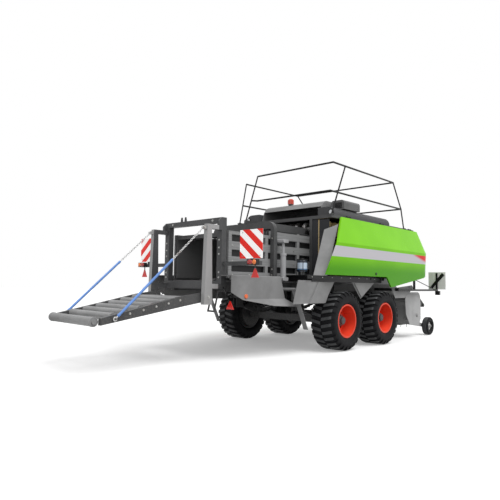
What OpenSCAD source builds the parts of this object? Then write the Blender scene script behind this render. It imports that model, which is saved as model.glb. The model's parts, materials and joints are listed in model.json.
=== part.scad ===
// Large square baler on a tandem axle, in millimetres.
// +X points forward along the line of travel, +Y to the left, +Z up from the floor.
// Pieces are drawn from the middle of the tandem and then shifted by tandem_x.

/* [Running gear] */
// Distance from the part's origin forward to the middle of the tandem
tandem_x = 237; // [200:1:270]
// Distance between the two axles
axle_pitch = 1410; // [1300:10:1480]
// Outside diameter of the road tyres, over the lugs
tyre_od = 1060; // [1000:5:1080]
// Width of the road tyres
tyre_w = 500; // [440:5:520]
// Distance from the centre plane to the middle of a road tyre
wheel_y = 1205; // [1185:1:1230]
// Radius of the rim flange
rim_r = 300; // [285:1:310]
// Height of the tread lugs
lug_h = 24; // [14:1:30]
// Number of lug pairs round a tyre
lug_count = 26; // [20:1:32]
// Radius of the wheel spindles
spindle_r = 45; // [35:1:55]
// Side of the square axle beams
axle_beam = 130; // [100:5:150]

/* [Bale chamber] */
// Width of the bale
bale_w = 1200; // [1100:10:1220]
// Height of the bale
bale_h = 880; // [800:10:900]
// Height of the chamber's floor surface
floor_z = 1210; // [1200:1:1220]
// Rear end of the chamber
chamber_rear_x = -3060; // [-3150:10:-2950]
// Front end of the chamber
chamber_front_x = 1300; // [1200:10:1340]
// Thickness of the chamber's side walls over their slats
wall_t = 90; // [70:1:90]

/* [Side panels] */
// Half width at the panels' crease
crease_y = 1450; // [1440:1:1470]
// Height of the crease
crease_z = 1920; // [1880:1:1960]
// Height of the panels' top edge
panel_top_z = 2430; // [2425:1:2434]
// Half width at the panels' top edge
panel_top_y = 1250; // [1248:1:1254]
// Height of the panels' straight lower edge
panel_low_z = 1345; // [1340:1:1400]
// Thickness of the panels
panel_t = 30; // [18:1:32]
// Where the straight side ends and the rounded front corner starts
corner_x = 2500; // [2480:5:2520]
// Half width where the corner hands over to the front hood
corner_y = 1000; // [960:5:1010]

/* [Guard rails] */
// Height of the top rail
rail_top_z = 3385; // [3300:5:3420]
// Height of the middle rail
rail_mid_z = 2875; // [2850:5:2950]
// Radius of the rail tubes
rail_r = 17; // [12:1:20]

/* [Bale chute] */
// Hinge of the chute, along X
chute_x = -3410; // [-3460:5:-3400]
// Hinge of the chute, height
chute_z = 960; // [930:5:980]
// Length from the hinge to the end roller
chute_len = 1710; // [1600:10:1720]
// Fall of the chute from its bend to its end
chute_fall = 11; // [6:1:14]
// Radius of the end roller
roller_r = 63; // [50:1:70]
// Height of the chain posts' tops
post_top_z = 2060; // [1950:5:2080]

/* [Pickup] */
// Half width over the pickup's side plates
pickup_y = 1205; // [1195:1:1215]
// Reel axis, along X
reel_x = 2620; // [2600:5:2640]
// Reel axis, height
reel_z = 500; // [490:1:520]
// Radius over the tine tips
tine_tip_r = 300; // [280:1:310]
// Number of tines along a bar
tine_count = 15; // [11:1:17]
// Radius of the gauge wheels
gauge_r = 214; // [190:1:230]
// Gauge wheel axle, along X
gauge_x = 3330; // [3300:5:3380]

/* [Drawbar] */
// Centre of the hitch ring, along X
hitch_x = 4675; // [4640:5:4700]
// Centre of the hitch ring, height
hitch_z = 650; // [600:5:700]
// Radius of the hitch ring's bore
hitch_r = 25; // [20:1:30]
// Half width of the drawbar
drawbar_y = 140; // [120:5:150]
// Height of the flywheel's axis
flywheel_z = 1900; // [1890:5:1930]
// Radius of the flywheel
flywheel_r = 370; // [320:5:375]
// Radius of the splined input stub
stub_r = 22.2; // [17.4:0.1:28]
// Parking jack, along X
jack_x = 3900; // [3800:10:4000]

/* [Hidden] */
$fn = 48;

// Clearances
run_gap = 0.05;
seat_gap = 0.3;
move_gap = 5;

// Running gear
axle_x = axle_pitch / 2;
axle_z = tyre_od / 2;
carcass_r = tyre_od / 2 - lug_h;
rim_lip = 12;
bead_r = rim_r - rim_lip;
axle_end_y = 880;

// Frame beams under the chamber walls
wall_in_y = bale_w / 2;
wall_y = wall_in_y + wall_t;
floor_t = 10;
beam_w = 120;
beam_in_y = wall_y - beam_w;
beam_top_z = floor_z - floor_t;
beam_h = 160;
beam_low_z = beam_top_z - beam_h;
beam_front_x = 2300;
ceiling_z = floor_z + bale_h;
top_t = 12;
deck_z = ceiling_z + top_t;

// Press lid and yoke at the rear of the chamber
lid_x = -1975;
lid_z = 2050;
lid_tube_r = 32;
lid_pin_r = 18;
lid_y = wall_in_y - 15;
yoke_rear_x = -1990;
yoke_front_x = -1905;

// Springs
spring_w = 80;
spring_y = 745;
spring_half = 600;
spring_r = 1900;
leaf_t = 18;
leaf_count = 4;
spring_base_z = axle_z + axle_beam / 2;
hanger_t = 10;
// Height of the main leaf's top face at a distance from the spring's middle
function leaf_top(dx) = spring_base_z + leaf_t * leaf_count + spring_r - sqrt(spring_r * spring_r - dx * dx);

// Ledge that carries the twine boxes
ledge_top_z = 1330;
ledge_y = 1290;
ledge_t = 8;
ledge_rear_x = -1730;
ledge_front_x = 900;
strip_low_z = 1222;
strip_y = 1262;
fender_t = 8;

// Top frame and panel hinges
top_rail_low_z = 2400;
top_rail_h = 60;
top_rail_z = top_rail_low_z + top_rail_h;
top_rail_in_y = 1150;
top_rail_y = 1205;
top_rail_rear_x = -900;
post_w = 60;
post_y = wall_y + post_w;
hinge_y = panel_top_y - panel_t / 2;
hinge_z = panel_top_z + 16;
hinge_pin_r = 12;
hinge_stations = [-380, 900, 2200];
knuckle_r = 20;
knuckle_l = 40;
rail_y = (top_rail_in_y + top_rail_y) / 2;
rail_top_y = 1290;

// Rear frame
portal_x = chamber_rear_x - 100;
portal_post_y = wall_in_y + 10;
portal_post_w = 110;
portal_y = portal_post_y + portal_post_w;
portal_low_z = 1080;
portal_top_z = 2190;
board_x = portal_x + 60;
light_bar_z = 1440;

// Chute
chute_y = 630;
chute_beam_w = 60;
chute_bend_x = chute_x - 390;
chute_end_x = chute_x - chute_len + 20;
chute_end_z = chute_z - 40 - (chute_bend_x - chute_end_x) * tan(chute_fall);
chain_y = 680;
chain_lug_x = chute_end_x + 170;
post_in_y = chute_y + 10;
post_out_y = post_in_y + 80;
pin_r = 25;
chain_pin_r = 12;
chain_lug_r = 14;
eye_r = 28;
eye_w = 16;
chain_top_x = chute_x - 90;
chain_top_z = post_top_z - 60;

// Pickup
pickup_pivot_x = 1900;
pickup_pivot_z = 900;
pickup_pin_r = 30;
pickup_plate_t = 15;
lift_tube_x = 2180;
lift_tube_z = 880;
lift_tube_r = 62;
channel_half = 600;
channel_t = 14;
pivot_in_y = channel_half + channel_t + move_gap;
reel_y = 1030;
band_r = 232;
tine_bar_r = 185;
gauge_y = 1160;
gauge_w = 150;

// Front marker arms
arm_x = 1500;
arm_w = 60;
arm_low_z = 1060;

// Drawbar, knotters and drive
subframe_y = 300;
subframe_z = 1480;
subframe_front_x = 2400;
hood_t = 24;
flywheel_x = 2640;

// A box from its low and high corners
module box(x0, x1, y0, y1, z0, z1)
    translate([x0, y0, z0]) cube([x1 - x0, y1 - y0, z1 - z0]);

// The same shape on both sides of the centre plane
module both_sides() {
    children();
    mirror([0, 1, 0]) children();
}

// An outline in X and Z, extruded across from y0 to y1
module side_shape(y0, y1)
    translate([0, y1, 0]) rotate([90, 0, 0]) linear_extrude(y1 - y0) children();

// An outline in Y and Z, extruded along from x0 to x1
module end_shape(x0, x1)
    translate([x0, 0, 0]) rotate([90, 0, 90]) linear_extrude(x1 - x0) children();

// A round bar between two points
module bar(a, b, r) {
    v = b - a;
    l = norm(v);
    translate(a) rotate([0, acos(v.z / l), atan2(v.y, v.x)]) cylinder(r = r, h = l);
}

// A round bar through a list of points, with ball corners
module bent_bar(points, r) {
    for (i = [0 : len(points) - 2]) bar(points[i], points[i + 1], r);
    if (len(points) > 2) for (i = [1 : len(points) - 2]) translate(points[i]) sphere(r = r + 0.6);
}

// A round bar across the machine
module cross_bar(x, z, y0, y1, r)
    translate([x, y1, z]) rotate([90, 0, 0]) cylinder(r = r, h = y1 - y0);

// A rectangle with round corners, from its low corner
module round_rect(w, h, c) {
    translate([c, 0]) square([w - 2 * c, h]);
    translate([0, c]) square([w, h - 2 * c]);
    for (x = [c, w - c], y = [c, h - c]) translate([x, y]) circle(c);
}

// A flat quadrilateral plate of thickness given by a vector
module quad_plate(a, b, c, d, v)
    polyhedron([a, b, c, d, a + v, b + v, c + v, d + v],
        [[0, 1, 2, 3], [7, 6, 5, 4], [0, 4, 5, 1], [1, 5, 6, 2], [2, 6, 7, 3], [3, 7, 4, 0]]);

module place() translate([tandem_x, 0, 0]) children();

// Running gear

// One wheel's place: front is 1 or -1, left is 1 or -1, with +Z of the child pointing outboard
module wheel_place(front, left)
    translate([front * axle_x, left * wheel_y, axle_z]) rotate([-90 * left, 0, 0]) children();

module tyre_section(r_out, w, c)
    translate([bead_r, -w / 2]) round_rect(r_out - bead_r, w, c);

// A tyre with two rows of slanting bars that nest into chevrons
module tyre() {
    bar_t = 52;
    sweep = 105;
    gap = 9;
    shoulder = 90;
    color("#1b1b1c") union() {
        rotate_extrude() tyre_section(carcass_r, tyre_w, 100);
        intersection() {
            rotate_extrude() tyre_section(tyre_od / 2, tyre_w, shoulder);
            for (k = [0 : lug_count - 1], s = [-1, 1])
                rotate(360 * (k + (s + 1) / 4) / lug_count)
                    translate([carcass_r - 60, 0, 0]) rotate([90, 0, 90]) linear_extrude(60 + lug_h + 30)
                        polygon([[0, s * gap], [bar_t, s * gap], [bar_t - sweep, s * tyre_w], [-sweep, s * tyre_w]]);
        }
    }
}

// A deep-dished rim with its disc inboard and the hub in the middle
module rim() {
    rim_w = 430;
    barrel_t = 14;
    disc_z = -60;
    disc_t = 18;
    hub_r = 115;
    hub_in = -170;
    hub_out = 40;
    color("#dd3b22") difference() {
        union() {
            rotate_extrude() {
                translate([bead_r - barrel_t, -rim_w / 2]) square([barrel_t, rim_w]);
                for (z = [-rim_w / 2, rim_w / 2 - barrel_t])
                    translate([bead_r - barrel_t, z]) square([barrel_t + rim_lip, barrel_t]);
                translate([hub_r - 10, disc_z]) square([bead_r - barrel_t - hub_r + 15, disc_t]);
            }
            translate([0, 0, hub_in]) cylinder(r = hub_r, h = hub_out - hub_in);
            translate([0, 0, hub_out]) cylinder(r1 = 78, r2 = 62, h = 34);
            for (k = [0 : 9]) rotate(36 * k) translate([167, 0, disc_z]) cylinder(r = 16, h = disc_t + 22);
        }
        translate([0, 0, hub_in - 1]) cylinder(r = spindle_r + run_gap, h = 1 - hub_in + 20);
        for (k = [0 : 4]) rotate(72 * k + 36) translate([222, 0, disc_z - 1]) cylinder(r = 26, h = disc_t + 2);
    }
}

module axles() {
    shoulder_r = 75;
    spindle_end = wheel_y + 10;
    shoulder_end = wheel_y - 170 - move_gap;
    drum_r = 255;
    drum_w = 95;
    color("#3a3b3d") for (x = [-axle_x, axle_x]) {
        box(x - axle_beam / 2, x + axle_beam / 2, -axle_end_y, axle_end_y, axle_z - axle_beam / 2, spring_base_z);
        cross_bar(x, axle_z, -spindle_end, spindle_end, spindle_r);
        cross_bar(x, axle_z, -shoulder_end, shoulder_end, shoulder_r - 15);
        both_sides() {
            cross_bar(x, axle_z, axle_end_y - 20, axle_end_y + 30, shoulder_r);
            cross_bar(x, axle_z, shoulder_end - drum_w, shoulder_end, drum_r);
        }
    }
}

// Leaf packs, each leaf shorter than the one above, with a clamp over the axle
module leaf_springs() {
    clamp_h = 30;
    step = 120;
    color("#2c2d2f") both_sides() for (x = [-axle_x, axle_x]) translate([x, 0, 0]) {
        side_shape(spring_y - spring_w / 2, spring_y + spring_w / 2)
            for (i = [0 : leaf_count - 1]) intersection() {
                translate([0, spring_base_z + leaf_t * leaf_count + spring_r]) difference() {
                    circle(spring_r + leaf_t * (i + 1), $fn = 180);
                    circle(spring_r + leaf_t * i, $fn = 180);
                }
                translate([-(spring_half - step * i), spring_base_z])
                    square([2 * (spring_half - step * i), 300]);
            }
        box(-70, 70, spring_y - spring_w / 2, spring_y + spring_w / 2,
            spring_base_z, spring_base_z + leaf_t * leaf_count + clamp_h);
    }
}

// Frame

// A bracket that holds spring ends at given offsets from its middle
module hanger(x, half, ends) {
    pad_z = leaf_top(spring_half) + seat_gap;
    in_y = spring_y - spring_w / 2 - seat_gap;
    out_y = spring_y + spring_w / 2 + seat_gap;
    box(x - half, x + half, wall_y, out_y + hanger_t, pad_z + 120, beam_top_z - 20);
    for (y = [in_y - hanger_t, out_y])
        box(x - half, x + half, y, y + hanger_t, pad_z - 70, pad_z + 121);
    for (e = ends) box(x + e - 35, x + e + 35, in_y - 1, out_y + 1, pad_z, pad_z + 121);
}

module main_frame() {
    cross_t = 100;
    color("#46484a") {
        both_sides() {
            box(chamber_rear_x, beam_front_x, beam_in_y, wall_y, beam_low_z, beam_top_z);
            // Subframe under the gearbox
            box(chamber_front_x, subframe_front_x, drawbar_y, subframe_y, beam_top_z, subframe_z);
        }
        for (x = [chamber_rear_x + 60, -1500, 0, 1150, beam_front_x - cross_t])
            box(x, x + cross_t, -beam_in_y - 1, beam_in_y + 1, beam_low_z + 20, beam_top_z);
        box(chamber_front_x, chamber_front_x + 60, -wall_y, wall_y, beam_top_z - 1, subframe_z);
        box(subframe_front_x - 40, subframe_front_x, -subframe_y, subframe_y, beam_low_z + 120, subframe_z);
        box(beam_front_x - cross_t, subframe_front_x, -subframe_y, subframe_y, beam_low_z + 120, beam_top_z);
    }
}

// Spring hangers and the pickup's pivots, bolted to the main beams
module frame_brackets() {
    pivot_r = 70;
    pin_l = 75;
    color("#3a3b3d") both_sides() {
        hanger(0, 190, [axle_x - spring_half, spring_half - axle_x]);
        for (s = [-1, 1]) hanger(s * (axle_x + spring_half), 90, [0]);
        box(pickup_pivot_x - pivot_r, pickup_pivot_x + pivot_r, pivot_in_y, wall_y, pickup_pivot_z, beam_low_z);
        cross_bar(pickup_pivot_x, pickup_pivot_z, pivot_in_y, wall_y, pivot_r);
        cross_bar(pickup_pivot_x, pickup_pivot_z, wall_y - 10, wall_y + pin_l, pickup_pin_r);
    }
}

module chamber_floor()
    color("#6b6d70") box(chamber_rear_x, chamber_front_x, -wall_y, wall_y, beam_top_z, floor_z);

// A side wall: a smooth inner sheet, four pressed channels outside and upright ribs
module chamber_wall() {
    sheet_t = 12;
    slats = 4;
    slat_gap = 85;
    pitch = (bale_h + slat_gap) / slats;
    slat_h = pitch - slat_gap;
    rear_x = chamber_rear_x + 75;
    rear_top_z = 2000;
    foot_gap = 45;
    rib_w = 70;
    ribs = [rear_x, -2120, -1250, -300, 600, chamber_front_x - rib_w];
    color("#8b8d90") {
        difference() {
            union() {
                box(rear_x, chamber_front_x, wall_in_y, wall_in_y + sheet_t, floor_z, ceiling_z);
                for (k = [0 : slats - 1]) end_shape(rear_x, chamber_front_x)
                    polygon([[wall_in_y + sheet_t - 1, floor_z + k * pitch],
                        [wall_y, floor_z + k * pitch + (k == 0 ? 0 : 14)],
                        [wall_y, floor_z + k * pitch + slat_h - 14],
                        [wall_in_y + sheet_t - 1, floor_z + k * pitch + slat_h]]);
                for (x = ribs) box(x, x + rib_w, wall_in_y + sheet_t - 1, wall_y, floor_z, ceiling_z);
            }
            // The rear section stands clear of the floor and ends below the lid
            box(rear_x - 1, yoke_rear_x, wall_in_y - 1, wall_y + 1, floor_z - 1, floor_z + foot_gap);
            box(rear_x - 1, yoke_rear_x, wall_in_y - 1, wall_y + 1, rear_top_z, ceiling_z + 1);
        }
        cross_bar(lid_x, lid_z, lid_y - 30, wall_in_y + 1, lid_pin_r);
    }
}
module chamber_left() chamber_wall();
module chamber_right() mirror([0, 1, 0]) chamber_wall();

// The chamber's fixed top with its stiffening beams
module chamber_top() {
    rear_x = lid_x + lid_tube_r + 13;
    beam_x0 = -1880;
    beam_x1 = -950;
    color("#55575a") {
        box(rear_x, chamber_front_x, -wall_y, wall_y, ceiling_z, deck_z);
        both_sides() box(beam_x0, beam_x1, 560, 640, deck_z - 1, deck_z + 130);
        for (x = [-1800, -1350]) box(x, x + 90, -561, 561, deck_z - 1, deck_z + 70);
    }
}

// Press lid that hangs down at the rear while the chamber is empty
module press_lid() {
    end_x = -3040;
    end_z = 1906;
    end_t = 66;
    plate_t = 46;
    color("#2b2c2e") difference() {
        union() {
            side_shape(-lid_y, lid_y) polygon([[lid_x, lid_z + plate_t / 2], [lid_x, lid_z - plate_t / 2],
                [end_x, end_z], [end_x, end_z + end_t]]);
            cross_bar(lid_x, lid_z, -lid_y, lid_y, lid_tube_r);
        }
        both_sides() cross_bar(lid_x, lid_z, lid_y - 36, lid_y + 1, lid_pin_r + run_gap);
    }
}

module plunger()
    color("#5a5c5f") difference() {
        box(0, 620, -wall_in_y + 12, wall_in_y - 12, floor_z, ceiling_z - 12);
        for (k = [-2.5 : 1 : 2.5]) box(-1, 90, k * 190 - 22, k * 190 + 22, floor_z + 60, ceiling_z);
    }

// Rear

module rear_frame() {
    bar_low_z = light_bar_z;
    bar_z = light_bar_z + 60;
    tie_t = 70;
    color("#4a4c4f") {
        // Portal round the bale's way out
        box(portal_x, chamber_rear_x, -portal_y, portal_y, portal_low_z, floor_z - 10);
        box(portal_x, chamber_rear_x, -portal_y, portal_y, portal_top_z - 80, portal_top_z);
        both_sides() {
            box(portal_x, chamber_rear_x, portal_post_y, portal_y, portal_low_z, portal_top_z);
            // Light bar and the strut behind the board
            box(board_x - 30, board_x + 30, portal_y - 1, 1480, bar_low_z, bar_z);
            box(board_x, board_x + 24, 1270, 1320, bar_z - 1, 1940);
            // Tapered chain post with its ties and the chute's pin
            side_shape(post_in_y, post_out_y) polygon([[chute_x - 80, chute_z - 110], [chute_x + 80, chute_z - 110],
                [chute_x + 42, post_top_z], [chute_x - 42, post_top_z]]);
            for (z = [portal_low_z + 10, 1990]) box(chute_x, portal_x + 1, post_in_y, post_out_y, z, z + tie_t);
            cross_bar(chute_x, chute_z, chute_y - chute_beam_w - 20, post_in_y + 1, pin_r);
            // Ears that hold the chain's upper pin
            for (y = [chain_y - eye_w - 6, chain_y + eye_w - 6]) side_shape(y, y + 12) {
                translate([chain_top_x, chain_top_z]) circle(24);
                translate([chain_top_x, chain_top_z - 24]) square([chute_x - chain_top_x, 48]);
            }
            cross_bar(chain_top_x, chain_top_z, chain_y - eye_w - 6, chain_y + eye_w + 6, chain_pin_r);
            // Corner gusset at the portal's head
            side_shape(portal_y - 30, portal_y) polygon([[chamber_rear_x, portal_top_z], [chamber_rear_x, portal_top_z - 260],
                [portal_x - 60, portal_top_z - 120], [portal_x - 60, portal_top_z - 60], [portal_x, portal_top_z]]);
        }
        // Step loop under the portal
        bent_bar([[portal_x + 50, -620, portal_low_z + 1], [portal_x - 40, -620, 740],
            [portal_x - 40, -480, 740], [portal_x + 50, -480, portal_low_z + 1]], 14);
        // Hooks on the portal's head
        for (y = [230, 330]) end_shape(portal_x + 40, portal_x + 54)
            polygon([[y - 30, portal_top_z - 1], [y + 30, portal_top_z - 1], [y + 14, portal_top_z + 80],
                [y - 14, portal_top_z + 80]]);
    }
}

// Round-cornered yoke that stands over the chamber
module density_yoke() {
    leg = 80;
    low_z = 1260;
    top_z = 2250;
    c = 150;
    half = wall_y + leg;
    color("#4a4c4f") end_shape(yoke_rear_x, yoke_front_x) difference() {
        translate([-half, low_z - c]) round_rect(2 * half, top_z - low_z + c, c);
        translate([-wall_y, low_z - c - 1]) square([2 * wall_y, deck_z + 18 - low_z + c + 1]);
        translate([-half - 1, low_z - c - 1]) square([2 * half + 2, c + 1]);
    }
}

// Upright press cylinders beside the chamber, on brackets that are bolted to the wall
module density_cylinders() {
    x = -1820;
    y = wall_y + 150;
    low_z = 1270;
    high_z = 1900;
    color("#9a9c9f") both_sides() {
        for (z = [low_z - 40, high_z - 20])
            side_shape(wall_y, y + 60) translate([x - 70, z]) round_rect(140, 60, 20);
        translate([x, y, low_z]) cylinder(r = 48, h = 400);
        translate([x, y, low_z]) cylinder(r = 24, h = high_z - low_z);
        translate([x, y, low_z + 390]) cylinder(r = 58, h = 40);
    }
}

// Curved feed channel from the pickup up into the chamber
module packer_channel() {
    r = 850;
    t = channel_t;
    half = channel_half;
    front_x = 2100;
    color("#4f5154") {
        side_shape(-half, half) intersection() {
            translate([front_x, beam_low_z + 230]) difference() {
                circle(r + t, $fn = 120);
                circle(r, $fn = 120);
            }
            translate([front_x - r - t, 0]) square([r + t, beam_low_z]);
        }
        both_sides() side_shape(half - 1, half + t) intersection() {
            translate([front_x, beam_low_z + 230]) circle(r + t, $fn = 120);
            translate([front_x - r - t, 0]) square([r + t, beam_low_z]);
        }
    }
}

// Slanting strips behind the rear wheels, on arms from the main beams
module needle_guard() {
    head_x = -1843;
    head_z = 1090;
    foot_x = -1503;
    foot_z = 400;
    in_y = 1050;
    out_y = 1140;
    t = 14;
    color("#8f9194") both_sides() {
        cross_bar(head_x, head_z, wall_y, out_y, 22);
        side_shape(in_y, out_y)
            polygon([[head_x - t / 2, head_z], [head_x + t / 2, head_z], [foot_x + t / 2, foot_z], [foot_x - t / 2, foot_z]]);
    }
}

// Drive and drawbar

module gearbox() {
    color("#3b3d40") {
        side_shape(-subframe_y, subframe_y) polygon([[1420, subframe_z], [2250, subframe_z], [2250, 2020],
            [2120, 2210], [1560, 2210], [1420, 2060]]);
        translate([2240, 0, flywheel_z]) rotate([0, 90, 0]) cylinder(r = 120, h = 90);
        translate([2240, 0, flywheel_z]) rotate([0, 90, 0]) cylinder(r = 40, h = flywheel_x + 5 - 2240);
    }
}

module flywheel() {
    rim_w = 110;
    rim_t = 90;
    color("#2f3033") translate([flywheel_x, 0, flywheel_z]) rotate([0, 90, 0]) difference() {
        union() {
            rotate_extrude() {
                translate([flywheel_r - rim_t, 0]) square([rim_t, rim_w]);
                translate([0, 40]) square([flywheel_r - rim_t + 1, 30]);
                square([90, 130]);
            }
            translate([0, 0, 130]) cylinder(r = 60, h = 40);
            translate([0, 0, 170]) cylinder(r = stub_r, h = 90);
        }
        translate([0, 0, -1]) cylinder(r = 40 + run_gap, h = 36);
        for (k = [0 : 5]) rotate(60 * k) translate([185, 0, 0]) cylinder(r = 48, h = 80);
    }
}

module drawbar() {
    color("#46484a") {
        side_shape(-drawbar_y, drawbar_y) polygon([[subframe_front_x, beam_low_z + 150], [3150, beam_low_z + 150],
            [4380, hitch_z - 90], [4560, hitch_z - 70], [4560, hitch_z + 70], [4330, hitch_z + 130],
            [3280, 1440], [subframe_front_x, subframe_z]]);
        // Jack bracket
        box(jack_x - 90, jack_x + 90, drawbar_y - 1, drawbar_y + 30, 880, 1010);
    }
}

module hitch_ring() {
    ring_r = 78;
    ring_t = 50;
    color("#77797c") difference() {
        union() {
            translate([hitch_x, 0, hitch_z - ring_t / 2]) cylinder(r = ring_r, h = ring_t);
            translate([4560, 0, hitch_z]) rotate([0, 90, 0]) cylinder(r = 62, h = 20);
            box(4570, hitch_x - 45, -40, 40, hitch_z - ring_t / 2, hitch_z + ring_t / 2);
        }
        translate([hitch_x, 0, hitch_z - ring_t]) cylinder(r = hitch_r, h = 2 * ring_t);
    }
}

jack_y = drawbar_y + 30 + 45;
jack_tube_w = 90;
jack_leg_w = 70;
jack_bore = jack_leg_w + 2 * seat_gap;
jack_low_z = 480;
jack_top_z = 1380;
module jack_tube() {
    color("#2f3033") difference() {
        union() {
            box(jack_x - jack_tube_w / 2, jack_x + jack_tube_w / 2, jack_y - jack_tube_w / 2, jack_y + jack_tube_w / 2,
                jack_low_z, jack_top_z);
            bent_bar([[jack_x, jack_y, jack_top_z - 1], [jack_x, jack_y, jack_top_z + 40],
                [jack_x, jack_y + 150, jack_top_z + 40], [jack_x, jack_y + 150, jack_top_z + 110]], 9);
        }
        box(jack_x - jack_bore / 2, jack_x + jack_bore / 2, jack_y - jack_bore / 2, jack_y + jack_bore / 2,
            jack_low_z - 1, jack_top_z - 12);
    }
}
module jack_leg() {
    foot = 220;
    color("#8f9194") {
        box(jack_x - jack_leg_w / 2, jack_x + jack_leg_w / 2, jack_y - jack_leg_w / 2, jack_y + jack_leg_w / 2, 10, 940);
        translate([jack_x, jack_y, 0]) cylinder(r = foot / 2, h = 18);
        translate([jack_x, jack_y, 17]) cylinder(r1 = 80, r2 = 48, h = 40);
    }
}

// Sides

module side_ledges() {
    color("#202123") both_sides() {
        box(ledge_rear_x, ledge_front_x, wall_y, ledge_y, ledge_top_z - ledge_t, ledge_top_z);
        box(ledge_rear_x, ledge_front_x, ledge_y - ledge_t, ledge_y, 1270, ledge_top_z);
        box(ledge_rear_x + 160, ledge_front_x - 60, strip_y - 8, strip_y, strip_low_z, ledge_top_z - 1);
        for (x = [-1500, -700, 30, 760])
            box(x - 30, x + 30, wall_y, strip_y - 8 - fender_t, strip_low_z, ledge_top_z - 1);
    }
}

module fenders() {
    t = fender_t;
    rear_rear = -2060;
    rear_front = -1175;
    low_z = 850;
    color("#98999b") both_sides() {
        // Rear mudguard with its folded middle and inner stay
        side_shape(strip_y - 8 - t, strip_y - 8) polygon([[rear_rear, low_z], [rear_front, low_z], [-880, strip_low_z],
            [-880, strip_low_z + 20], [-1600, strip_low_z + 20], [-1930, strip_low_z + 20]]);
        side_shape(strip_y - 10, strip_y + 12) polygon([[-1640, low_z + 4], [-1180, low_z + 4], [-960, strip_low_z - 8],
            [-1380, strip_low_z - 8]]);
        // Triangle between the wheels
        side_shape(strip_y - 8 - t, strip_y - 8) polygon([[-280, strip_low_z + 20], [-280, strip_low_z],
            [30, 910], [560, strip_low_z], [560, strip_low_z + 20]]);
        side_shape(strip_y - 10, strip_y + 10) polygon([[-220, strip_low_z - 8], [36, 940], [480, strip_low_z - 8]]);
        // Shield under the panel's toe, let round the marker arm's root
        side_shape(1222, 1230) difference() {
            polygon([[1346, 1114], [2316, 1188], [2408, 1127], [1953, 908], [1506, 904]]);
            translate([arm_x, arm_low_z]) square([arm_w, arm_w]);
        }
    }
}

// Grey covers over the rear of the frame, flared out at the foot
module rear_shrouds() {
    t = 8;
    y = 950;
    flare_y = 1160;
    rear_x = -3170;
    front_x = -1784;
    top_z = 1295;
    fold_z = 930;
    low_z = 810;
    tab_h = 70;
    color("#98999b") both_sides() intersection() {
        end_shape(rear_x, front_x) polygon([[wall_y + 40, top_z], [y, top_z], [y + t, top_z - t], [y + t, fold_z],
            [flare_y, low_z], [flare_y - t, low_z - 4], [y, fold_z - 4], [y, top_z - t], [wall_y + 40, top_z - t]]);
        side_shape(0, flare_y) polygon([[rear_x, top_z + 1], [-2026, top_z + 1], [-1909, fold_z], [front_x, low_z - 10],
            [-2371, low_z + 15], [-2909, 918], [rear_x, 1038]]);
    }
    color("#98999b") both_sides() for (x = [-2950, -2350])
        box(x, x + 50, wall_y, wall_y + 41, top_z - tab_h, top_z);
}

// Shelves with twine spools, behind the side panels
module twine_racks() {
    back_t = 6;
    rear_x = -860;
    front_x = 1900;
    depth_y = 1130;
    shelf_t = 6;
    shelf_z = [ledge_top_z, 1690, 2050];
    spool_r = 130;
    spool_h = 300;
    pitch = 300;
    color("#5d5f62") both_sides() {
        box(rear_x, front_x, post_y, post_y + back_t, ledge_top_z, top_rail_low_z);
        for (z = shelf_z) box(rear_x, front_x, post_y, depth_y, z, z + shelf_t);
        for (x = [rear_x, 520, front_x - back_t]) box(x, x + back_t, post_y, depth_y, ledge_top_z, 2380);
    }
    color("#c9b27a") both_sides() for (z = shelf_z, k = [0 : 8], gap = 30)
        translate([rear_x + 170 + k * pitch + (k > 3 ? gap : 0), post_y + back_t + spool_r + 10, z + shelf_t - 1])
            cylinder(r = spool_r, h = spool_h);
}

// Slanting grey covers that close the twine boxes at the rear
module rear_covers() {
    out_low = [-1270, 1370, ledge_top_z];
    in_low = [-1415, 1180, ledge_top_z];
    out_high = [-752, 1250, 2282];
    in_high = [-950, 1080, 2176];
    v = [8, -6, 0];
    color("#9b9c9e") both_sides() quad_plate(out_low, in_low, in_high, out_high, v);
}

module panel_section() {
    foot_z = 1100;
    foot_y = crease_y - 35;
    polygon([[panel_top_y - panel_t, panel_top_z - 6], [panel_top_y, panel_top_z], [crease_y, crease_z], [foot_y, foot_z],
        [foot_y - panel_t, foot_z], [crease_y - panel_t, crease_z - 8]]);
}

// A green side panel: a creased skin with a rounded front corner, cut to its outline
module side_panel() {
    rear_x = -1450;
    top_rear_x = -630;
    crease_rear_x = -1060;
    low_rear_x = -1380;
    step_x = 770;
    toe_x = 970;
    toe_z = 1137;
    nose_z = 1480;
    color("#6cc024") {
        intersection() {
            union() {
                end_shape(rear_x, corner_x) panel_section();
                translate([corner_x, corner_y, 0]) rotate_extrude(angle = 90)
                    translate([-corner_y, 0]) panel_section();
            }
            side_shape(corner_y - 1, crease_y + 10) polygon([[top_rear_x, panel_top_z + 10], [crease_rear_x, crease_z],
                [low_rear_x, panel_low_z], [step_x, panel_low_z], [toe_x, toe_z], [corner_x, panel_low_z + 10],
                [corner_x + 460, nose_z], [corner_x + 460, panel_top_z + 10]]);
        }
        // Hinge knuckles, each side of the frame's lug
        for (x = hinge_stations, s = [-1, 1])
            translate([x + s * (knuckle_l + 1) - knuckle_l / 2, hinge_y, hinge_z]) rotate([0, 90, 0]) difference() {
                cylinder(r = knuckle_r, h = knuckle_l);
                translate([0, 0, -1]) cylinder(r = hinge_pin_r + run_gap, h = knuckle_l + 2);
            }
    }
}
module side_panel_left() side_panel();
module side_panel_right() mirror([0, 1, 0]) side_panel();

// Top

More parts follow.
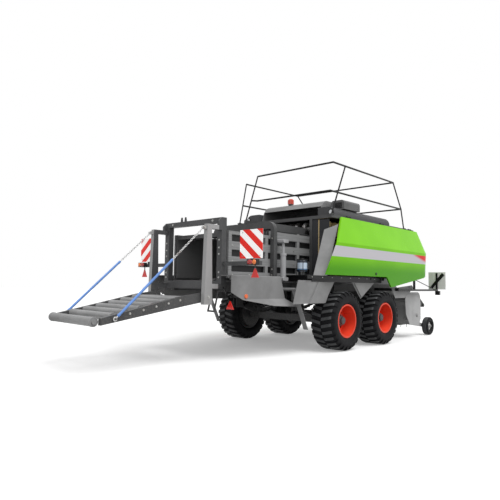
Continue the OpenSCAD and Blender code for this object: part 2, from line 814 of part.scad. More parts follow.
module top_frame() {
    lug_h = 24;
    stations = [-840, 560, 1960];
    color("#3d3f42") {
        both_sides() {
            box(top_rail_rear_x, corner_x - 20, top_rail_in_y, top_rail_y, top_rail_low_z, top_rail_z);
            for (x = stations) {
                box(x - post_w / 2, x + post_w / 2, wall_y, post_y, ledge_top_z, top_rail_z);
                box(x - post_w / 2, x + post_w / 2, wall_y, top_rail_in_y + 1, top_rail_low_z, top_rail_z);
            }
            // Hinge lugs and pins
            for (x = hinge_stations) {
                box(x - knuckle_l / 2, x + knuckle_l / 2, top_rail_y - 1, hinge_y + 8, hinge_z - lug_h / 2, hinge_z + lug_h / 2);
                translate([x - 1.5 * knuckle_l - 1, hinge_y, hinge_z]) rotate([0, 90, 0])
                    cylinder(r = hinge_pin_r, h = 3 * knuckle_l + 2);
            }
        }
        // Cross members, walkway and the rear step's stub
        for (x = [stations[0], stations[2]])
            box(x - post_w / 2, x + post_w / 2, -post_y, post_y, top_rail_low_z, top_rail_z);
        box(1230, 1930, -top_rail_in_y, top_rail_in_y, top_rail_z - 26, top_rail_z);
        box(-1190, stations[0], 670, 730, top_rail_low_z, top_rail_z);
        box(stations[2], corner_x, -corner_y + 60, corner_y - 60, top_rail_low_z, panel_top_z);
    }
}

// Guard rails that lean out towards their top; the posts are a little thinner than the rails
module guard_rails() {
    rear_x = -980;
    front_top_x = 1310;
    front_mid_x = 1800;
    front_foot_x = 2030;
    rear_post_x = -580;
    foot_x = -860;
    left_x = -560;
    exit_y = 560;
    exit_foot_y = 700;
    exit_foot_x = -1160;
    post_r = rail_r - 3;
    foot_r = rail_r + 10;
    foot_z = top_rail_z + rail_r / 2;
    part_up = (rail_mid_z - top_rail_z) / (rail_top_z - top_rail_z);
    mid_y = rail_y + (rail_top_y - rail_y) * part_up;
    color("#2e2f31") {
        bent_bar([[rear_x, exit_y, rail_top_z], [rear_x, -rail_top_y, rail_top_z], [front_top_x, -rail_top_y, rail_top_z],
            [front_top_x, rail_top_y, rail_top_z], [left_x, rail_top_y, rail_top_z]], rail_r);
        bent_bar([[rear_x, exit_y, rail_mid_z], [rear_x, -mid_y, rail_mid_z], [front_mid_x, -mid_y, rail_mid_z],
            [front_mid_x, mid_y, rail_mid_z], [foot_x + (left_x - foot_x) * part_up, mid_y, rail_mid_z]], rail_r);
        for (s = [-1, 1]) {
            bar([front_top_x, s * rail_top_y, rail_top_z], [front_mid_x, s * mid_y, rail_mid_z], post_r);
            bar([front_mid_x, s * mid_y, rail_mid_z], [front_foot_x, s * rail_y, foot_z], post_r);
            bar([s > 0 ? left_x : rear_post_x, s * rail_top_y, rail_top_z], [foot_x, s * rail_y, foot_z], post_r);
        }
        bar([rear_x, exit_y, rail_top_z], [exit_foot_x, exit_foot_y, foot_z], post_r);
        for (p = [[front_foot_x, rail_y], [front_foot_x, -rail_y], [foot_x, rail_y], [foot_x, -rail_y],
            [exit_foot_x, exit_foot_y]])
            translate([p.x, p.y, top_rail_z]) cylinder(r = foot_r, h = foot_z - top_rail_z + 6);
    }
}

module knotter_deck() {
    rear_x = -780;
    front_x = 520;
    in_y = 640;
    t = 20;
    color("#4a4c4f") {
        both_sides() box(rear_x, front_x, in_y, in_y + t, deck_z, 2480);
        box(rear_x + 180, front_x, -in_y - 1, in_y + 1, 2468, 2480);
        box(front_x - t, front_x, -in_y - 1, in_y + 1, deck_z, 2480);
    }
}

// Knotters in a row on their shaft
module knotters() {
    x = -420;
    z = 2300;
    count = 6;
    pitch = 200;
    color("#77797c") {
        cross_bar(x, z, -640, 640, 30);
        for (k = [0 : count - 1]) translate([0, (k - (count - 1) / 2) * pitch, 0]) {
            cross_bar(x, z, -34, 34, 118);
            side_shape(-12, 12) polygon([[x - 150, deck_z], [x + 120, deck_z], [x + 60, z], [x - 60, z]]);
            side_shape(40, 60) polygon([[x - 60, deck_z], [x + 60, deck_z], [x + 34, z], [x - 34, z]]);
            bar([x - 40, 20, z + 40], [x - 210, 20, z - 60], 20);
        }
    }
}

// Sheet hood over the knotters, open at the rear
module knotter_hood() {
    y = 745;
    t = 10;
    low_z = 2480;
    color("#8f9194") {
        side_shape(-y, y) difference() {
            polygon([[-560, 2690], [-470, 2790], [-400, 2815], [470, 2815], [600, 2720], [640, low_z], [-480, low_z],
                [-480, 2690]]);
            polygon([[-561, 2680], [-462, 2780], [-396, 2805], [466, 2805], [591, 2714], [629, low_z - 1],
                [-600, low_z - 1]]);
        }
        both_sides() side_shape(y - t, y) polygon([[-560, 2690], [-470, 2790], [-400, 2815], [470, 2815], [600, 2720],
            [640, low_z], [-640, low_z]]);
        both_sides() box(-400, 400, 640, y, low_z, low_z + t);
    }
}

module beacon() {
    x = -380;
    y = 160;
    z = 2815;
    color("#c8321e") translate([x, y, z]) {
        cylinder(r = 52, h = 24);
        translate([0, 0, 24]) cylinder(r = 66, h = 84);
        translate([0, 0, 108]) cylinder(r1 = 66, r2 = 40, h = 26);
    }
}

// Dark rounded fairings along the top, inside the rails
module top_fairings() {
    in_y = 760;
    out_y = 1130;
    r = 150;
    z = top_rail_z;
    high_z = 2640;
    color("#3a3c3f") both_sides() end_shape(-700, 1450) {
        translate([in_y, z]) square([out_y - in_y - r, high_z - z]);
        intersection() {
            translate([out_y - r, high_z - r]) circle(r);
            translate([out_y - r - 1, z]) square([r + 1, high_z - z]);
        }
    }
}

module air_box() {
    color("#3f4144") translate([-300, -1090, 2580]) end_shape(0, 580) difference() {
        round_rect(300, 240, 60);
        translate([-1, -1]) square([302, 61]);
    }
}

// Green hood across the front, with the opening for the drawbar and the drive
module front_hood() {
    slot_y = 330;
    slot_z = subframe_z + 20;
    edge_y = corner_y - move_gap;
    dx = corner_x - corner_y;
    low_z = 1345;
    color("#6cc024") difference() {
        side_shape(-edge_y, edge_y) polygon([[corner_x, panel_top_z - hood_t], [corner_x, panel_top_z],
            [dx + panel_top_y, panel_top_z], [dx + crease_y, crease_z], [dx + crease_y - 20, low_z],
            [dx + crease_y - 20 - hood_t, low_z], [dx + crease_y - hood_t, crease_z - 6], [dx + panel_top_y - hood_t, panel_top_z - hood_t]]);
        box(corner_x, corner_x + 800, -slot_y, slot_y, 1000, slot_z);
        translate([corner_x, 0, flywheel_z]) rotate([0, 90, 0]) cylinder(r = 130, h = 800);
    }
}

// Signs and lamps

module warning_boards()
    color("#e9e6e2") both_sides() difference() {
        box(board_x - 14, board_x, 1070, 1520, 1540, 1965);
        box(board_x - 15, board_x - 11, 1078, 1512, 1548, 1957);
    }

module rear_lamps()
    color("#b3241c") both_sides() box(board_x - 95, board_x - 30, 1290, 1478, 1442, 1522);

module reflectors() {
    x = board_x - 20;
    color("#d0271c") both_sides()
        end_shape(x, x + 12) polygon([[1310, 1260], [1460, 1260], [1392, 1400], [1392, light_bar_z], [1378, light_bar_z], [1378, 1400]]);
    color("#d0271c") both_sides() end_shape(x, x + 12)
        polygon([[800, 780], [960, 780], [886, 900], [portal_y, 1120], [portal_y, 1100], [874, 900]]);
}

module front_boards()
    color("#d8d6d2") both_sides() box(3584, 3596, 1080, 1500, 1100, 1520);

module front_board_arms() {
    y0 = 1270;
    y1 = 1310;
    color("#1f2022") both_sides() {
        box(arm_x, arm_x + arm_w, wall_y, y1, arm_low_z, arm_low_z + arm_w);
        box(arm_x, 3600, y0, y1, arm_low_z, 1100);
        // Upright behind the panel and the thin stay from its head
        box(2290, 2330, y0, y1, 1099, 1340);
        bar([2310, (y0 + y1) / 2, 1325], [3440, (y0 + y1) / 2, 1095], 9);
        // Diagonal stiffener on the board's back
        end_shape(3566, 3584) polygon([[1110, 1130], [1180, 1120], [1480, 1450], [1420, 1500]]);
        // Folded stiffener behind the board and the lamp below
        box(3560, 3584, y0, y1, 1099, 1500);
        box(3566, 3640, y0 - 20, y1 + 40, 960, 1061);
    }
}

module grease_reservoir()
    color("#c6cfd8") translate([-1440, -960, ledge_top_z]) {
        cylinder(r = 70, h = 60);
        translate([0, 0, 60]) cylinder(r = 88, h = 190);
        translate([0, 0, 250]) cylinder(r1 = 88, r2 = 70, h = 24);
    }

// Pickup

// Lift arms on the pivots, joined by a tube that carries the side plates
module pickup_lift_arms() {
    y = wall_y + 10;
    t = 50;
    boss_r = 75;
    color("#a2a3a5") {
        both_sides() side_shape(y, y + t) difference() {
            union() {
                translate([pickup_pivot_x, pickup_pivot_z]) circle(boss_r);
                polygon([[pickup_pivot_x, pickup_pivot_z - boss_r], [lift_tube_x + 20, lift_tube_z - 60],
                    [lift_tube_x + 20, lift_tube_z + 60], [pickup_pivot_x, pickup_pivot_z + boss_r]]);
            }
            translate([pickup_pivot_x, pickup_pivot_z]) circle(pickup_pin_r + run_gap);
        }
        cross_bar(lift_tube_x, lift_tube_z, pickup_plate_t - pickup_y, pickup_y - pickup_plate_t, lift_tube_r);
    }
}

module pickup_frame() {
    t = pickup_plate_t;
    back_x = reel_x - tine_tip_r - 20;
    band_w = 2 * reel_y / tine_count - 46;
    pitch = 2 * reel_y / tine_count;
    gauge_arm_y = gauge_y - gauge_w / 2 - 40;
    color("#a2a3a5") {
        both_sides() {
            // Side plate with a round head
            side_shape(pickup_y - t, pickup_y) {
                polygon([[2080, 530], [2260, 300], [2720, 240], [2830, 420], [2830, 800], [2040, 800]]);
                translate([2040, 700]) round_rect(780, 330, 160);
            }
            // Gauge wheel arm inside the wheel, with the axle
            side_shape(gauge_arm_y, gauge_arm_y + 30)
                polygon([[back_x - 30, 400], [back_x + 40, 300], [gauge_x, gauge_r - 35], [gauge_x + 35, gauge_r],
                    [gauge_x, gauge_r + 35], [back_x - 30, 470]]);
            cross_bar(gauge_x, gauge_r, gauge_arm_y + 1, gauge_y + 50, 18);
            cross_bar(back_x + 10, 400, gauge_arm_y + 20, pickup_y - 1, 45);
        }
        // Back sheet and the bands that strip the tines
        box(back_x - 8, back_x, -pickup_y + 1, pickup_y - 1, 300, 720);
        side_shape(-pickup_y + 1, pickup_y - 1) difference() {
            polygon([[back_x - 8, 712], [lift_tube_x, 850], [lift_tube_x, 866], [back_x, 728]]);
            translate([lift_tube_x, lift_tube_z]) circle(lift_tube_r);
        }
        for (k = [0 : tine_count - 1]) translate([0, (k - (tine_count - 1) / 2) * pitch + pitch / 2, 0])
            if (k < tine_count - 1) side_shape(-band_w / 2, band_w / 2) {
                translate([reel_x, reel_z]) difference() {
                    circle(band_r, $fn = 96);
                    circle(band_r - 8, $fn = 96);
                    translate([-2 * band_r, -band_r + 45]) square([2 * band_r, 2 * band_r - 90]);
                }
                for (z = [reel_z - band_r, reel_z + band_r - 8]) translate([back_x - 1, z]) square([reel_x - back_x + 2, 8]);
            }
    }
}

module windguard() {
    y = pickup_y - 15;
    x = 3010;
    z = 720;
    color("#3c3e41") {
        both_sides() side_shape(y - 40, y) polygon([[2600, 900], [2660, 1000], [x + 40, z + 30], [x + 30, z - 40], [x - 40, z - 40]]);
        cross_bar(x, z, -y, y, 42);
        cross_bar(x - 190, z + 200, -y, y, 26);
        for (k = [-9 : 9]) bar([x - 190, k * 118, z + 200], [2560, k * 118, 790], 9);
    }
}

// Tined reel: shaft, end discs, four bars and their tines
module pickup_reel() {
    bars = 4;
    bar_r = 16;
    disc_t = 14;
    disc_r = tine_bar_r + bar_r + 6;
    pitch = 2 * reel_y / tine_count;
    color("#8d8f92") translate([reel_x, 0, reel_z]) {
        cross_bar(0, 0, -pickup_y + 15 + seat_gap, pickup_y - 15 - seat_gap, 34);
        for (y = [-reel_y + 8, -disc_t / 2, reel_y - 8 - disc_t]) cross_bar(0, 0, y, y + disc_t, disc_r);
        for (b = [0 : bars - 1]) rotate([0, 360 * b / bars, 0]) {
            cross_bar(tine_bar_r, 0, -reel_y + 10, reel_y - 10, bar_r);
            for (k = [0 : tine_count - 1]) {
                y = (k - (tine_count - 1) / 2) * pitch;
                bar([tine_bar_r, y, 0], [tine_tip_r - 4, y, -36], 6);
            }
        }
    }
}

module gauge_wheel() {
    bead = 108;
    color("#26272a") translate([gauge_x, gauge_y, gauge_r]) rotate([-90, 0, 0]) difference() {
        union() {
            rotate_extrude() translate([bead, -gauge_w / 2]) round_rect(gauge_r - bead, gauge_w, 45);
            rotate_extrude() translate([0, -18]) square([bead + 1, 36]);
            translate([0, 0, -60]) cylinder(r = 40, h = 120);
        }
        translate([0, 0, -61]) cylinder(r = 18 + run_gap, h = 61 + 52);
    }
}
module gauge_wheel_left() gauge_wheel();
module gauge_wheel_right() mirror([0, 1, 0]) gauge_wheel();

// Chute

module chute_frame() {
    depth = 130;
    color("#55575a") {
        both_sides() {
            side_shape(chute_y - chute_beam_w, chute_y) difference() {
                union() {
                    polygon([[chute_x + 10, chute_z + 70], [chute_bend_x, chute_z + 20], [chute_end_x, chute_end_z + 45],
                        [chute_end_x, chute_end_z - 45], [chute_bend_x, chute_z - depth], [chute_x + 10, chute_z - 70]]);
                    translate([chute_x + 10, chute_z]) circle(70);
                }
                translate([chute_x, chute_z]) circle(pin_r + run_gap);
            }
            // Chain lug
            cross_bar(chain_lug_x, chain_lug_z, chute_y - 1, chain_y + 20, chain_lug_r);
        }
        cross_bar(chute_bend_x, chute_z - 95, -chute_y + 1, chute_y - 1, 30);
    }
}

// Height of the chute beam's middle at a place along it
function chute_mid(x) = chute_z - 30 + (x - chute_bend_x) * tan(chute_fall);
chain_lug_z = chute_mid(chain_lug_x) - 10;
module chute_rollers() {
    in_y = chute_y - chute_beam_w - seat_gap;
    count = 6;
    color("#8b8d90") {
        cross_bar(chute_end_x - roller_r - seat_gap, chute_end_z, -590, 590, roller_r);
        for (k = [0 : count - 1]) {
            x = chute_bend_x - 60 - k * 205;
            side_shape(-in_y, in_y) translate([x - 60, chute_mid(x) - 10]) rotate(chute_fall) square([120, 40]);
        }
    }
}

// Chains from the posts to the chute, with a sleeve over the lower part and an eye at each end
module chains() {
    top = [chain_top_x, chain_y, chain_top_z];
    low = [chain_lug_x, chain_y, chain_lug_z];
    way = (low - top) / norm(low - top);
    joint = top + (low - top) * 0.4;
    color("#6e93cf") both_sides() difference() {
        union() {
            bar(top, joint, 9);
            bar(joint, low - way * 40, 18);
            bar(low - way * 45, low, 9);
            for (p = [top, low]) cross_bar(p.x, p.z, chain_y - eye_w / 2, chain_y + eye_w / 2, eye_r);
        }
        cross_bar(top.x, top.z, chain_y - eye_w, chain_y + eye_w, chain_pin_r + seat_gap);
        cross_bar(low.x, low.z, chain_y - eye_w, chain_y + eye_w, chain_lug_r + seat_gap);
    }
}

place() main_frame();
place() frame_brackets();
place() axles();
place() leaf_springs();
place() chamber_floor();
place() chamber_left();
place() chamber_right();
place() chamber_top();
place() press_lid();
place() plunger();
place() rear_frame();
place() density_yoke();
place() density_cylinders();
place() packer_channel();
place() gearbox();
place() drawbar();
place() hitch_ring();
place() jack_tube();
place() side_ledges();
place() fenders();
place() rear_shrouds();
place() twine_racks();
place() rear_covers();
place() top_frame();
place() guard_rails();
place() knotter_deck();
place() knotters();
place() knotter_hood();
place() beacon();
place() top_fairings();
place() air_box();
place() front_hood();
place() warning_boards();
place() rear_lamps();
place() reflectors();
place() front_boards();
place() front_board_arms();
place() grease_reservoir();
place() needle_guard();
place() wheel_place(1, 1) tyre();  // tyre_front_left
place() wheel_place(1, -1) tyre();  // tyre_front_right
place() wheel_place(-1, 1) tyre();  // tyre_rear_left
place() wheel_place(-1, -1) tyre();  // tyre_rear_right
place() wheel_place(1, 1) rim();  // rim_front_left
place() wheel_place(1, -1) rim();  // rim_front_right
place() wheel_place(-1, 1) rim();  // rim_rear_left
place() wheel_place(-1, -1) rim();  // rim_rear_right
place() side_panel_left();
place() side_panel_right();
place() pickup_frame();
place() pickup_lift_arms();
place() windguard();
place() pickup_reel();
place() gauge_wheel_left();
place() gauge_wheel_right();
place() flywheel();
place() jack_leg();
place() chute_frame();
place() chute_rollers();
place() chains();
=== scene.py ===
# %% [markdown]
# A large square baler, dressed around its CAD frame
#
# The CAD model already holds the machine's solids, so this lesson adds what a picture needs: paint, rubber and
# sheet finishes, finer chains and rollers, and the small things bolted on top. First the frame is loaded.

# %% Load the frame
import json
from math import cos, pi, radians, sin

import bmesh
import bpy
from mathutils import Matrix, Vector


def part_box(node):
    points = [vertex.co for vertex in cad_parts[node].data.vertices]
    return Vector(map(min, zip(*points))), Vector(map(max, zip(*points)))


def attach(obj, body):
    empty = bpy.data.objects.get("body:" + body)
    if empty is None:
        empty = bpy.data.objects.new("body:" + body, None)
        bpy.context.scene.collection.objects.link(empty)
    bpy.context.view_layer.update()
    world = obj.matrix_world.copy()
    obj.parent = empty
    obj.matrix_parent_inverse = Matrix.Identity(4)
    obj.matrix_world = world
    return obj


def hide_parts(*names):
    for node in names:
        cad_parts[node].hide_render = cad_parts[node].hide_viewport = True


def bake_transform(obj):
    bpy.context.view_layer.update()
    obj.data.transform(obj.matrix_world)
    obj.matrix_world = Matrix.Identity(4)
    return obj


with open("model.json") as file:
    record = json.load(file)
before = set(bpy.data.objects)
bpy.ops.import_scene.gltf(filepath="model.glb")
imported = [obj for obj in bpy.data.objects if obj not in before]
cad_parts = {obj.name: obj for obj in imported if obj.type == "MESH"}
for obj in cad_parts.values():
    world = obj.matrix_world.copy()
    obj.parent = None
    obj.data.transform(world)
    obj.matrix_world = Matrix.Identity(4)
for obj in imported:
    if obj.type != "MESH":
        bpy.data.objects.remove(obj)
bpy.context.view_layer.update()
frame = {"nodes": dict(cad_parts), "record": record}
scene = bpy.context.scene

# %% [markdown]
# The tyres' boxes in the CAD give the middle of the tandem, the axles and the track. Every added piece is placed
# from the middle of the tandem: along, across and up, with the numbers of the CAD source.

# %% Measures from the frame
front_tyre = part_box("tyre_front_left")
rear_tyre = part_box("tyre_rear_left")
axle_front_x = (front_tyre[0].x + front_tyre[1].x) / 2
axle_rear_x = (rear_tyre[0].x + rear_tyre[1].x) / 2
TANDEM = (axle_front_x + axle_rear_x) / 2
AXLE_X = (axle_front_x - axle_rear_x) / 2
AXLE_Z = (front_tyre[0].z + front_tyre[1].z) / 2
WHEEL_Y = (front_tyre[0].y + front_tyre[1].y) / 2
SIDES = {"right": -1, "left": 1}


def here(along, across, height):
    """A place given from the middle of the tandem, as the CAD source gives it, in metres."""
    return Vector((TANDEM + along, across, height))


print("tandem at", round(TANDEM, 3), "axles", round(AXLE_X, 3), "either side, height", round(AXLE_Z, 3))

# %% [markdown]
# The camera stands behind the machine on its right, at about chest height, and looks slightly up. Its place
# and turn were found by fitting the wheels and the warning boards of known size to the photograph.

# %% Camera
CAMERA_FROM_TANDEM = Vector((-8.17, -6.076, 1.178))
YAW = radians(43.51)
PITCH = radians(3.97)
ROLL = radians(0.91)
LENS = 34.44
FILM_WIDTH = 36.0

ahead = Vector((cos(PITCH) * cos(YAW), cos(PITCH) * sin(YAW), sin(PITCH)))
level_right = ahead.cross(Vector((0, 0, 1))).normalized()
level_up = level_right.cross(ahead)
right = level_right * cos(ROLL) + level_up * sin(ROLL)
up = level_up * cos(ROLL) - level_right * sin(ROLL)
camera_data = bpy.data.cameras.new("camera")
camera_data.lens = LENS
camera_data.sensor_width = FILM_WIDTH
camera = bpy.data.objects.new("camera", camera_data)
turn = Matrix((right, up, -ahead)).transposed().to_4x4()
camera.matrix_world = Matrix.Translation(CAMERA_FROM_TANDEM + Vector((TANDEM, 0, 0))) @ turn
scene.collection.objects.link(camera)
scene.camera = camera
print("camera at", [round(c, 3) for c in camera.matrix_world.translation])

# %% [markdown]
# Shader maths is easier to read as plain expressions. This class wraps one output of a node: adding,
# multiplying or comparing it makes the Math node, and any other node comes from its method node().

# %% A socket that can be calculated with
class Signal:
    """One output of a shader node; arithmetic on it adds Math nodes."""

    def __init__(self, tree, socket):
        self.tree = tree
        self.socket = socket

    def feed(self, socket, value):
        """Links a Signal to a socket, or sets a plain value on it."""
        if isinstance(value, Signal):
            self.tree.links.new(value.socket, socket)
        else:
            socket.default_value = value

    def node(self, kind, settings=None, inputs=None, out=0):
        """Adds a node, sets its settings, feeds its inputs and returns one of its outputs."""
        made = self.tree.nodes.new(kind)
        for key, value in (settings or {}).items():
            setattr(made, key, value)
        for key, value in (inputs or {}).items():
            self.feed(made.inputs[key], value)
        return Signal(self.tree, made.outputs[out])

    def math(self, operation, *values):
        """One Math node."""
        return self.node("ShaderNodeMath", {"operation": operation}, dict(enumerate(values)))

    def __add__(self, other):
        return self.math("ADD", self, other)

    __radd__ = __add__

    def __sub__(self, other):
        return self.math("SUBTRACT", self, other)

    def __rsub__(self, other):
        return self.math("SUBTRACT", other, self)

    def __mul__(self, other):
        return self.math("MULTIPLY", self, other)

    def __truediv__(self, other):
        return self.math("DIVIDE", self, other)

    def __gt__(self, other):
        return self.math("GREATER_THAN", self, other)

    def __lt__(self, other):
        return self.math("LESS_THAN", self, other)

    def __abs__(self):
        return self.math("ABSOLUTE", self)

    def hypot(self, other):
        """The length over two offsets at a right angle."""
        return self.math("SQRT", self * self + other * other)

    def xyz(self):
        """The three parts of a vector."""
        parts = self.node("ShaderNodeSeparateXYZ", None, {0: self})
        made = parts.socket.node
        return [Signal(self.tree, made.outputs[k]) for k in range(3)]

    def ease(self, low, high):
        """0 below low, 1 above high, and smooth between."""
        return self.node("ShaderNodeMapRange", {"interpolation_type": "SMOOTHSTEP"},
                         {"Value": self, "From Min": low, "From Max": high})

    def noise(self, scale, detail=3.0, rough=0.55):
        """Cloudy noise at these coordinates."""
        return self.node("ShaderNodeTexNoise", None,
                         {"Vector": self, "Scale": scale, "Detail": detail, "Roughness": rough})

    def mix(self, first, second):
        """first where this is 0, second where it is 1; either may be a colour or a Signal."""
        return self.node("ShaderNodeMix", {"data_type": "RGBA"}, {0: self, 6: first, 7: second}, out=2)


print("methods of Signal:", [name for name in vars(Signal) if not name.startswith("_")])

# %% [markdown]
# Every finish starts alike: a new material, its Principled shader and its Object coordinates, which are the
# machine's own metres. Work paint shines less than the shader does by default, so the sheen is set lower. Most
# finishes also need two tints of one colour and a bump in the surface, so these are helpers as well.

# %% A new material, its tints and its bump
SHEEN = 0.25


def rgb(red, green, blue):
    """A linear colour with full alpha."""
    return (red, green, blue, 1.0)


def grey(level):
    """A neutral grey."""
    return rgb(level, level, level)


def tint(colour, factor):
    """A colour made darker or lighter."""
    return rgb(*[min(c * factor, 1.0) for c in colour])


def start(name, **constants):
    """A new material: returns it, its shader and its Object coordinates. Constants go on the shader's sockets."""
    material = bpy.data.materials.new(name)
    material.use_nodes = True
    tree = material.node_tree
    shader = tree.nodes["Principled BSDF"]
    shader.inputs["Specular IOR Level"].default_value = SHEEN
    for key, value in constants.items():
        shader.inputs[key.replace("_", " ").title()].default_value = value
    coordinates = tree.nodes.new("ShaderNodeTexCoord")
    return material, shader, Signal(tree, coordinates.outputs["Object"])


def add_bump(shader, height, strength, distance):
    """Lets a height ripple the surface."""
    bump = height.node("ShaderNodeBump", None, {"Strength": strength, "Distance": distance, "Height": height})
    height.feed(shader.inputs["Normal"], bump)


print("usual sheen", SHEEN)

# %% [markdown]
# The photograph was taken in a white studio, so the machine stands on a floor that reaches past every edge of the
# picture. It is a single face, a hair below the tyres, and it is stage only: it is no piece of the machine.

# %% Studio floor
FLOOR_HALF = 60.0
FLOOR_DROP = 0.002
floor_mesh = bmesh.new()
bmesh.ops.create_grid(floor_mesh, x_segments=1, y_segments=1, size=FLOOR_HALF)
floor_data = bpy.data.meshes.new("studio_floor")
floor_mesh.to_mesh(floor_data)
floor_mesh.free()
floor = bpy.data.objects.new("studio_floor", floor_data)
floor.location.z = -FLOOR_DROP
scene.collection.objects.link(floor)
print("floor", 2 * FLOOR_HALF, "m wide")

# %% [markdown]
# To the camera and in reflections the floor is white, with a faint glow that lifts it to the picture's white. It
# still darkens under the machine, so the soft contact shadow stays. To light that bounces off it the floor is a mid
# grey, which keeps the machine's underside dark. The Light Path node tells the two kinds of ray apart.

# %% White floor with a grey bounce
FLOOR_WHITE = 0.8
FLOOR_GLOW = 0.28
FLOOR_BOUNCE = 0.34


def shows_plain(tree):
    """1 for a ray from the camera, a mirror or glass, and 0 for a ray that carries light to the machine."""
    path = tree.nodes.new("ShaderNodeLightPath")
    seen = Signal(tree, path.outputs["Is Camera Ray"])
    mirrored = Signal(tree, path.outputs["Is Glossy Ray"])
    passed = Signal(tree, path.outputs["Is Transmission Ray"])
    return seen.math("MINIMUM", seen + mirrored + passed, 1.0)


floor_paint, floor_shader, at = start("studio_floor", base_color=grey(FLOOR_WHITE), roughness=1.0)
floor_shader.inputs["Specular IOR Level"].default_value = 0.0
white = Signal(at.tree, floor_shader.outputs[0])
glow = at.node("ShaderNodeEmission", None, {"Color": grey(1.0), "Strength": FLOOR_GLOW})
lifted = at.node("ShaderNodeAddShader", None, {0: white, 1: glow})
bounce = at.node("ShaderNodeBsdfDiffuse", None, {"Color": grey(FLOOR_BOUNCE)})
either = at.node("ShaderNodeMixShader", None, {0: shows_plain(at.tree), 1: bounce, 2: lifted})
at.feed(at.tree.nodes["Material Output"].inputs["Surface"], either)
floor_data.materials.append(floor_paint)
print("floor white", FLOOR_WHITE, "glow", FLOOR_GLOW, "bounce", FLOOR_BOUNCE)

# %% [markdown]
# Broad soft light comes from all round. The sky is plain white where the camera sees it, and dimmer as a lamp, so
# that the two suns with their wide discs can shape the machine: a key from the right, and a weak fill from behind.

# %% Sky and lamps
SKY_LIGHT = 0.58
KEY_LIGHT = 1.9
FILL_LIGHT = 0.5

world = bpy.data.worlds.new("studio_sky")
world.use_nodes = True
sky = world.node_tree.nodes["Background"]
sky.inputs["Color"].default_value = grey(1.0)
sky_seen = shows_plain(world.node_tree)
sky_seen.feed(sky.inputs["Strength"], sky_seen * (1.0 - SKY_LIGHT) + SKY_LIGHT)
scene.world = world


def add_lamp(name, strength, spread, azimuth, height):
    """A sun lamp with a wide soft disc; azimuth is where it stands round the machine, in degrees."""
    data = bpy.data.lights.new(name, "SUN")
    data.energy = strength
    data.angle = radians(spread)
    lamp = bpy.data.objects.new(name, data)
    toward = Vector((cos(radians(azimuth)) * cos(radians(height)), sin(radians(azimuth)) * cos(radians(height)),
                     sin(radians(height))))
    lamp.rotation_euler = toward.to_track_quat("Z", "Y").to_euler()
    scene.collection.objects.link(lamp)


add_lamp("key", KEY_LIGHT, 40.0, -78.0, 60.0)
add_lamp("fill", FILL_LIGHT, 60.0, 200.0, 30.0)
scene.view_settings.view_transform = "Standard"
print("studio ready: sky", SKY_LIGHT, "key", KEY_LIGHT, "fill", FILL_LIGHT)

# %% [markdown]
# Most of the machine is painted steel in a few greys. Real paint is never one flat tone: it clouds a little,
# carries a film of dust that is thicker low down, and has a faint orange-peel texture. One function makes all of
# these paints from a colour, a gloss and an amount of dust.

# %% Painted steel
DUST = rgb(0.30, 0.27, 0.23)


def paint(name, colour, gloss=0.42, dust=0.10, shade=None):
    """Sprayed paint with cloudy tone, low dust and orange peel; shade may paint parts of the node another colour."""
    material, shader, at = start(name)
    height = at.xyz()[2]
    cloud = at.noise(2.3, 4.0)
    speck = at.noise(38.0, 2.0)
    toned = cloud.ease(0.35, 0.65).mix(tint(colour, 0.88), tint(colour, 1.12))
    if shade:
        toned = shade(at, toned)
    low = 1 - height.ease(0.3, 1.5)
    dirt = speck.ease(0.45, 0.75) * (low * dust * 2.2 + dust * 0.6)
    at.feed(shader.inputs["Base Color"], dirt.mix(toned, DUST))
    at.feed(shader.inputs["Roughness"], dirt * 0.35 + cloud * 0.12 + (gloss - 0.06))
    add_bump(shader, at.noise(260.0, 1.0), 0.05, 0.002)
    return material


print("dust colour", DUST[:3])

# %% [markdown]
# Some CAD nodes carry two paints. On a rim the hub stays in dark primer, so the distance from the axle is needed,
# and the inboard side is painted the same dark as painted shade. Folding the machine about the middle of the tandem
# measures it from both axles at once. The chain posts are paler than the portal in front of them, partly as painted
# light, and their inner faces stay dark as painted shade.

# %% Greys, rim red and two-tone paints
HUB_R = 0.125
RIM_DISC_Y = WHEEL_Y - 0.062
POSTS_BEHIND_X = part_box("chamber_floor")[0].x - 0.16
POST_IN_Y = 0.643


def from_axle(at, centre_x, fold, centre_z):
    """Distance from an axle; a fold above 0 stands for two axles, that far before and behind centre_x."""
    along, height = at.xyz()[0::2]
    return (abs(along - centre_x) - fold).hypot(height - centre_z)


def dark_hub_shaded_inboard(at, red):
    """Leaves the hub of a rim in dark primer, and paints its inboard side the same dark as painted shade."""
    hub = from_axle(at, TANDEM, AXLE_X, AXLE_Z) < HUB_R
    # painted shade: the inboard side of the rim takes the hub's dark colour
    inboard = abs(at.xyz()[1]) < RIM_DISC_Y
    return at.math("MAXIMUM", hub, inboard).mix(red, rgb(0.045, 0.046, 0.048))


def pale_posts_shaded_inner(at, dark):
    """Lightens the two chain posts behind the portal, partly as painted light; their inner faces stay dark as painted
    shade.
    """
    along, across = at.xyz()[:2]
    # pale on the posts' rear and outer faces, partly painted light; the inner faces keep the dark as painted shade
    post = (along < POSTS_BEHIND_X) * (abs(across) > POST_IN_Y)
    return post.mix(dark, grey(0.40))


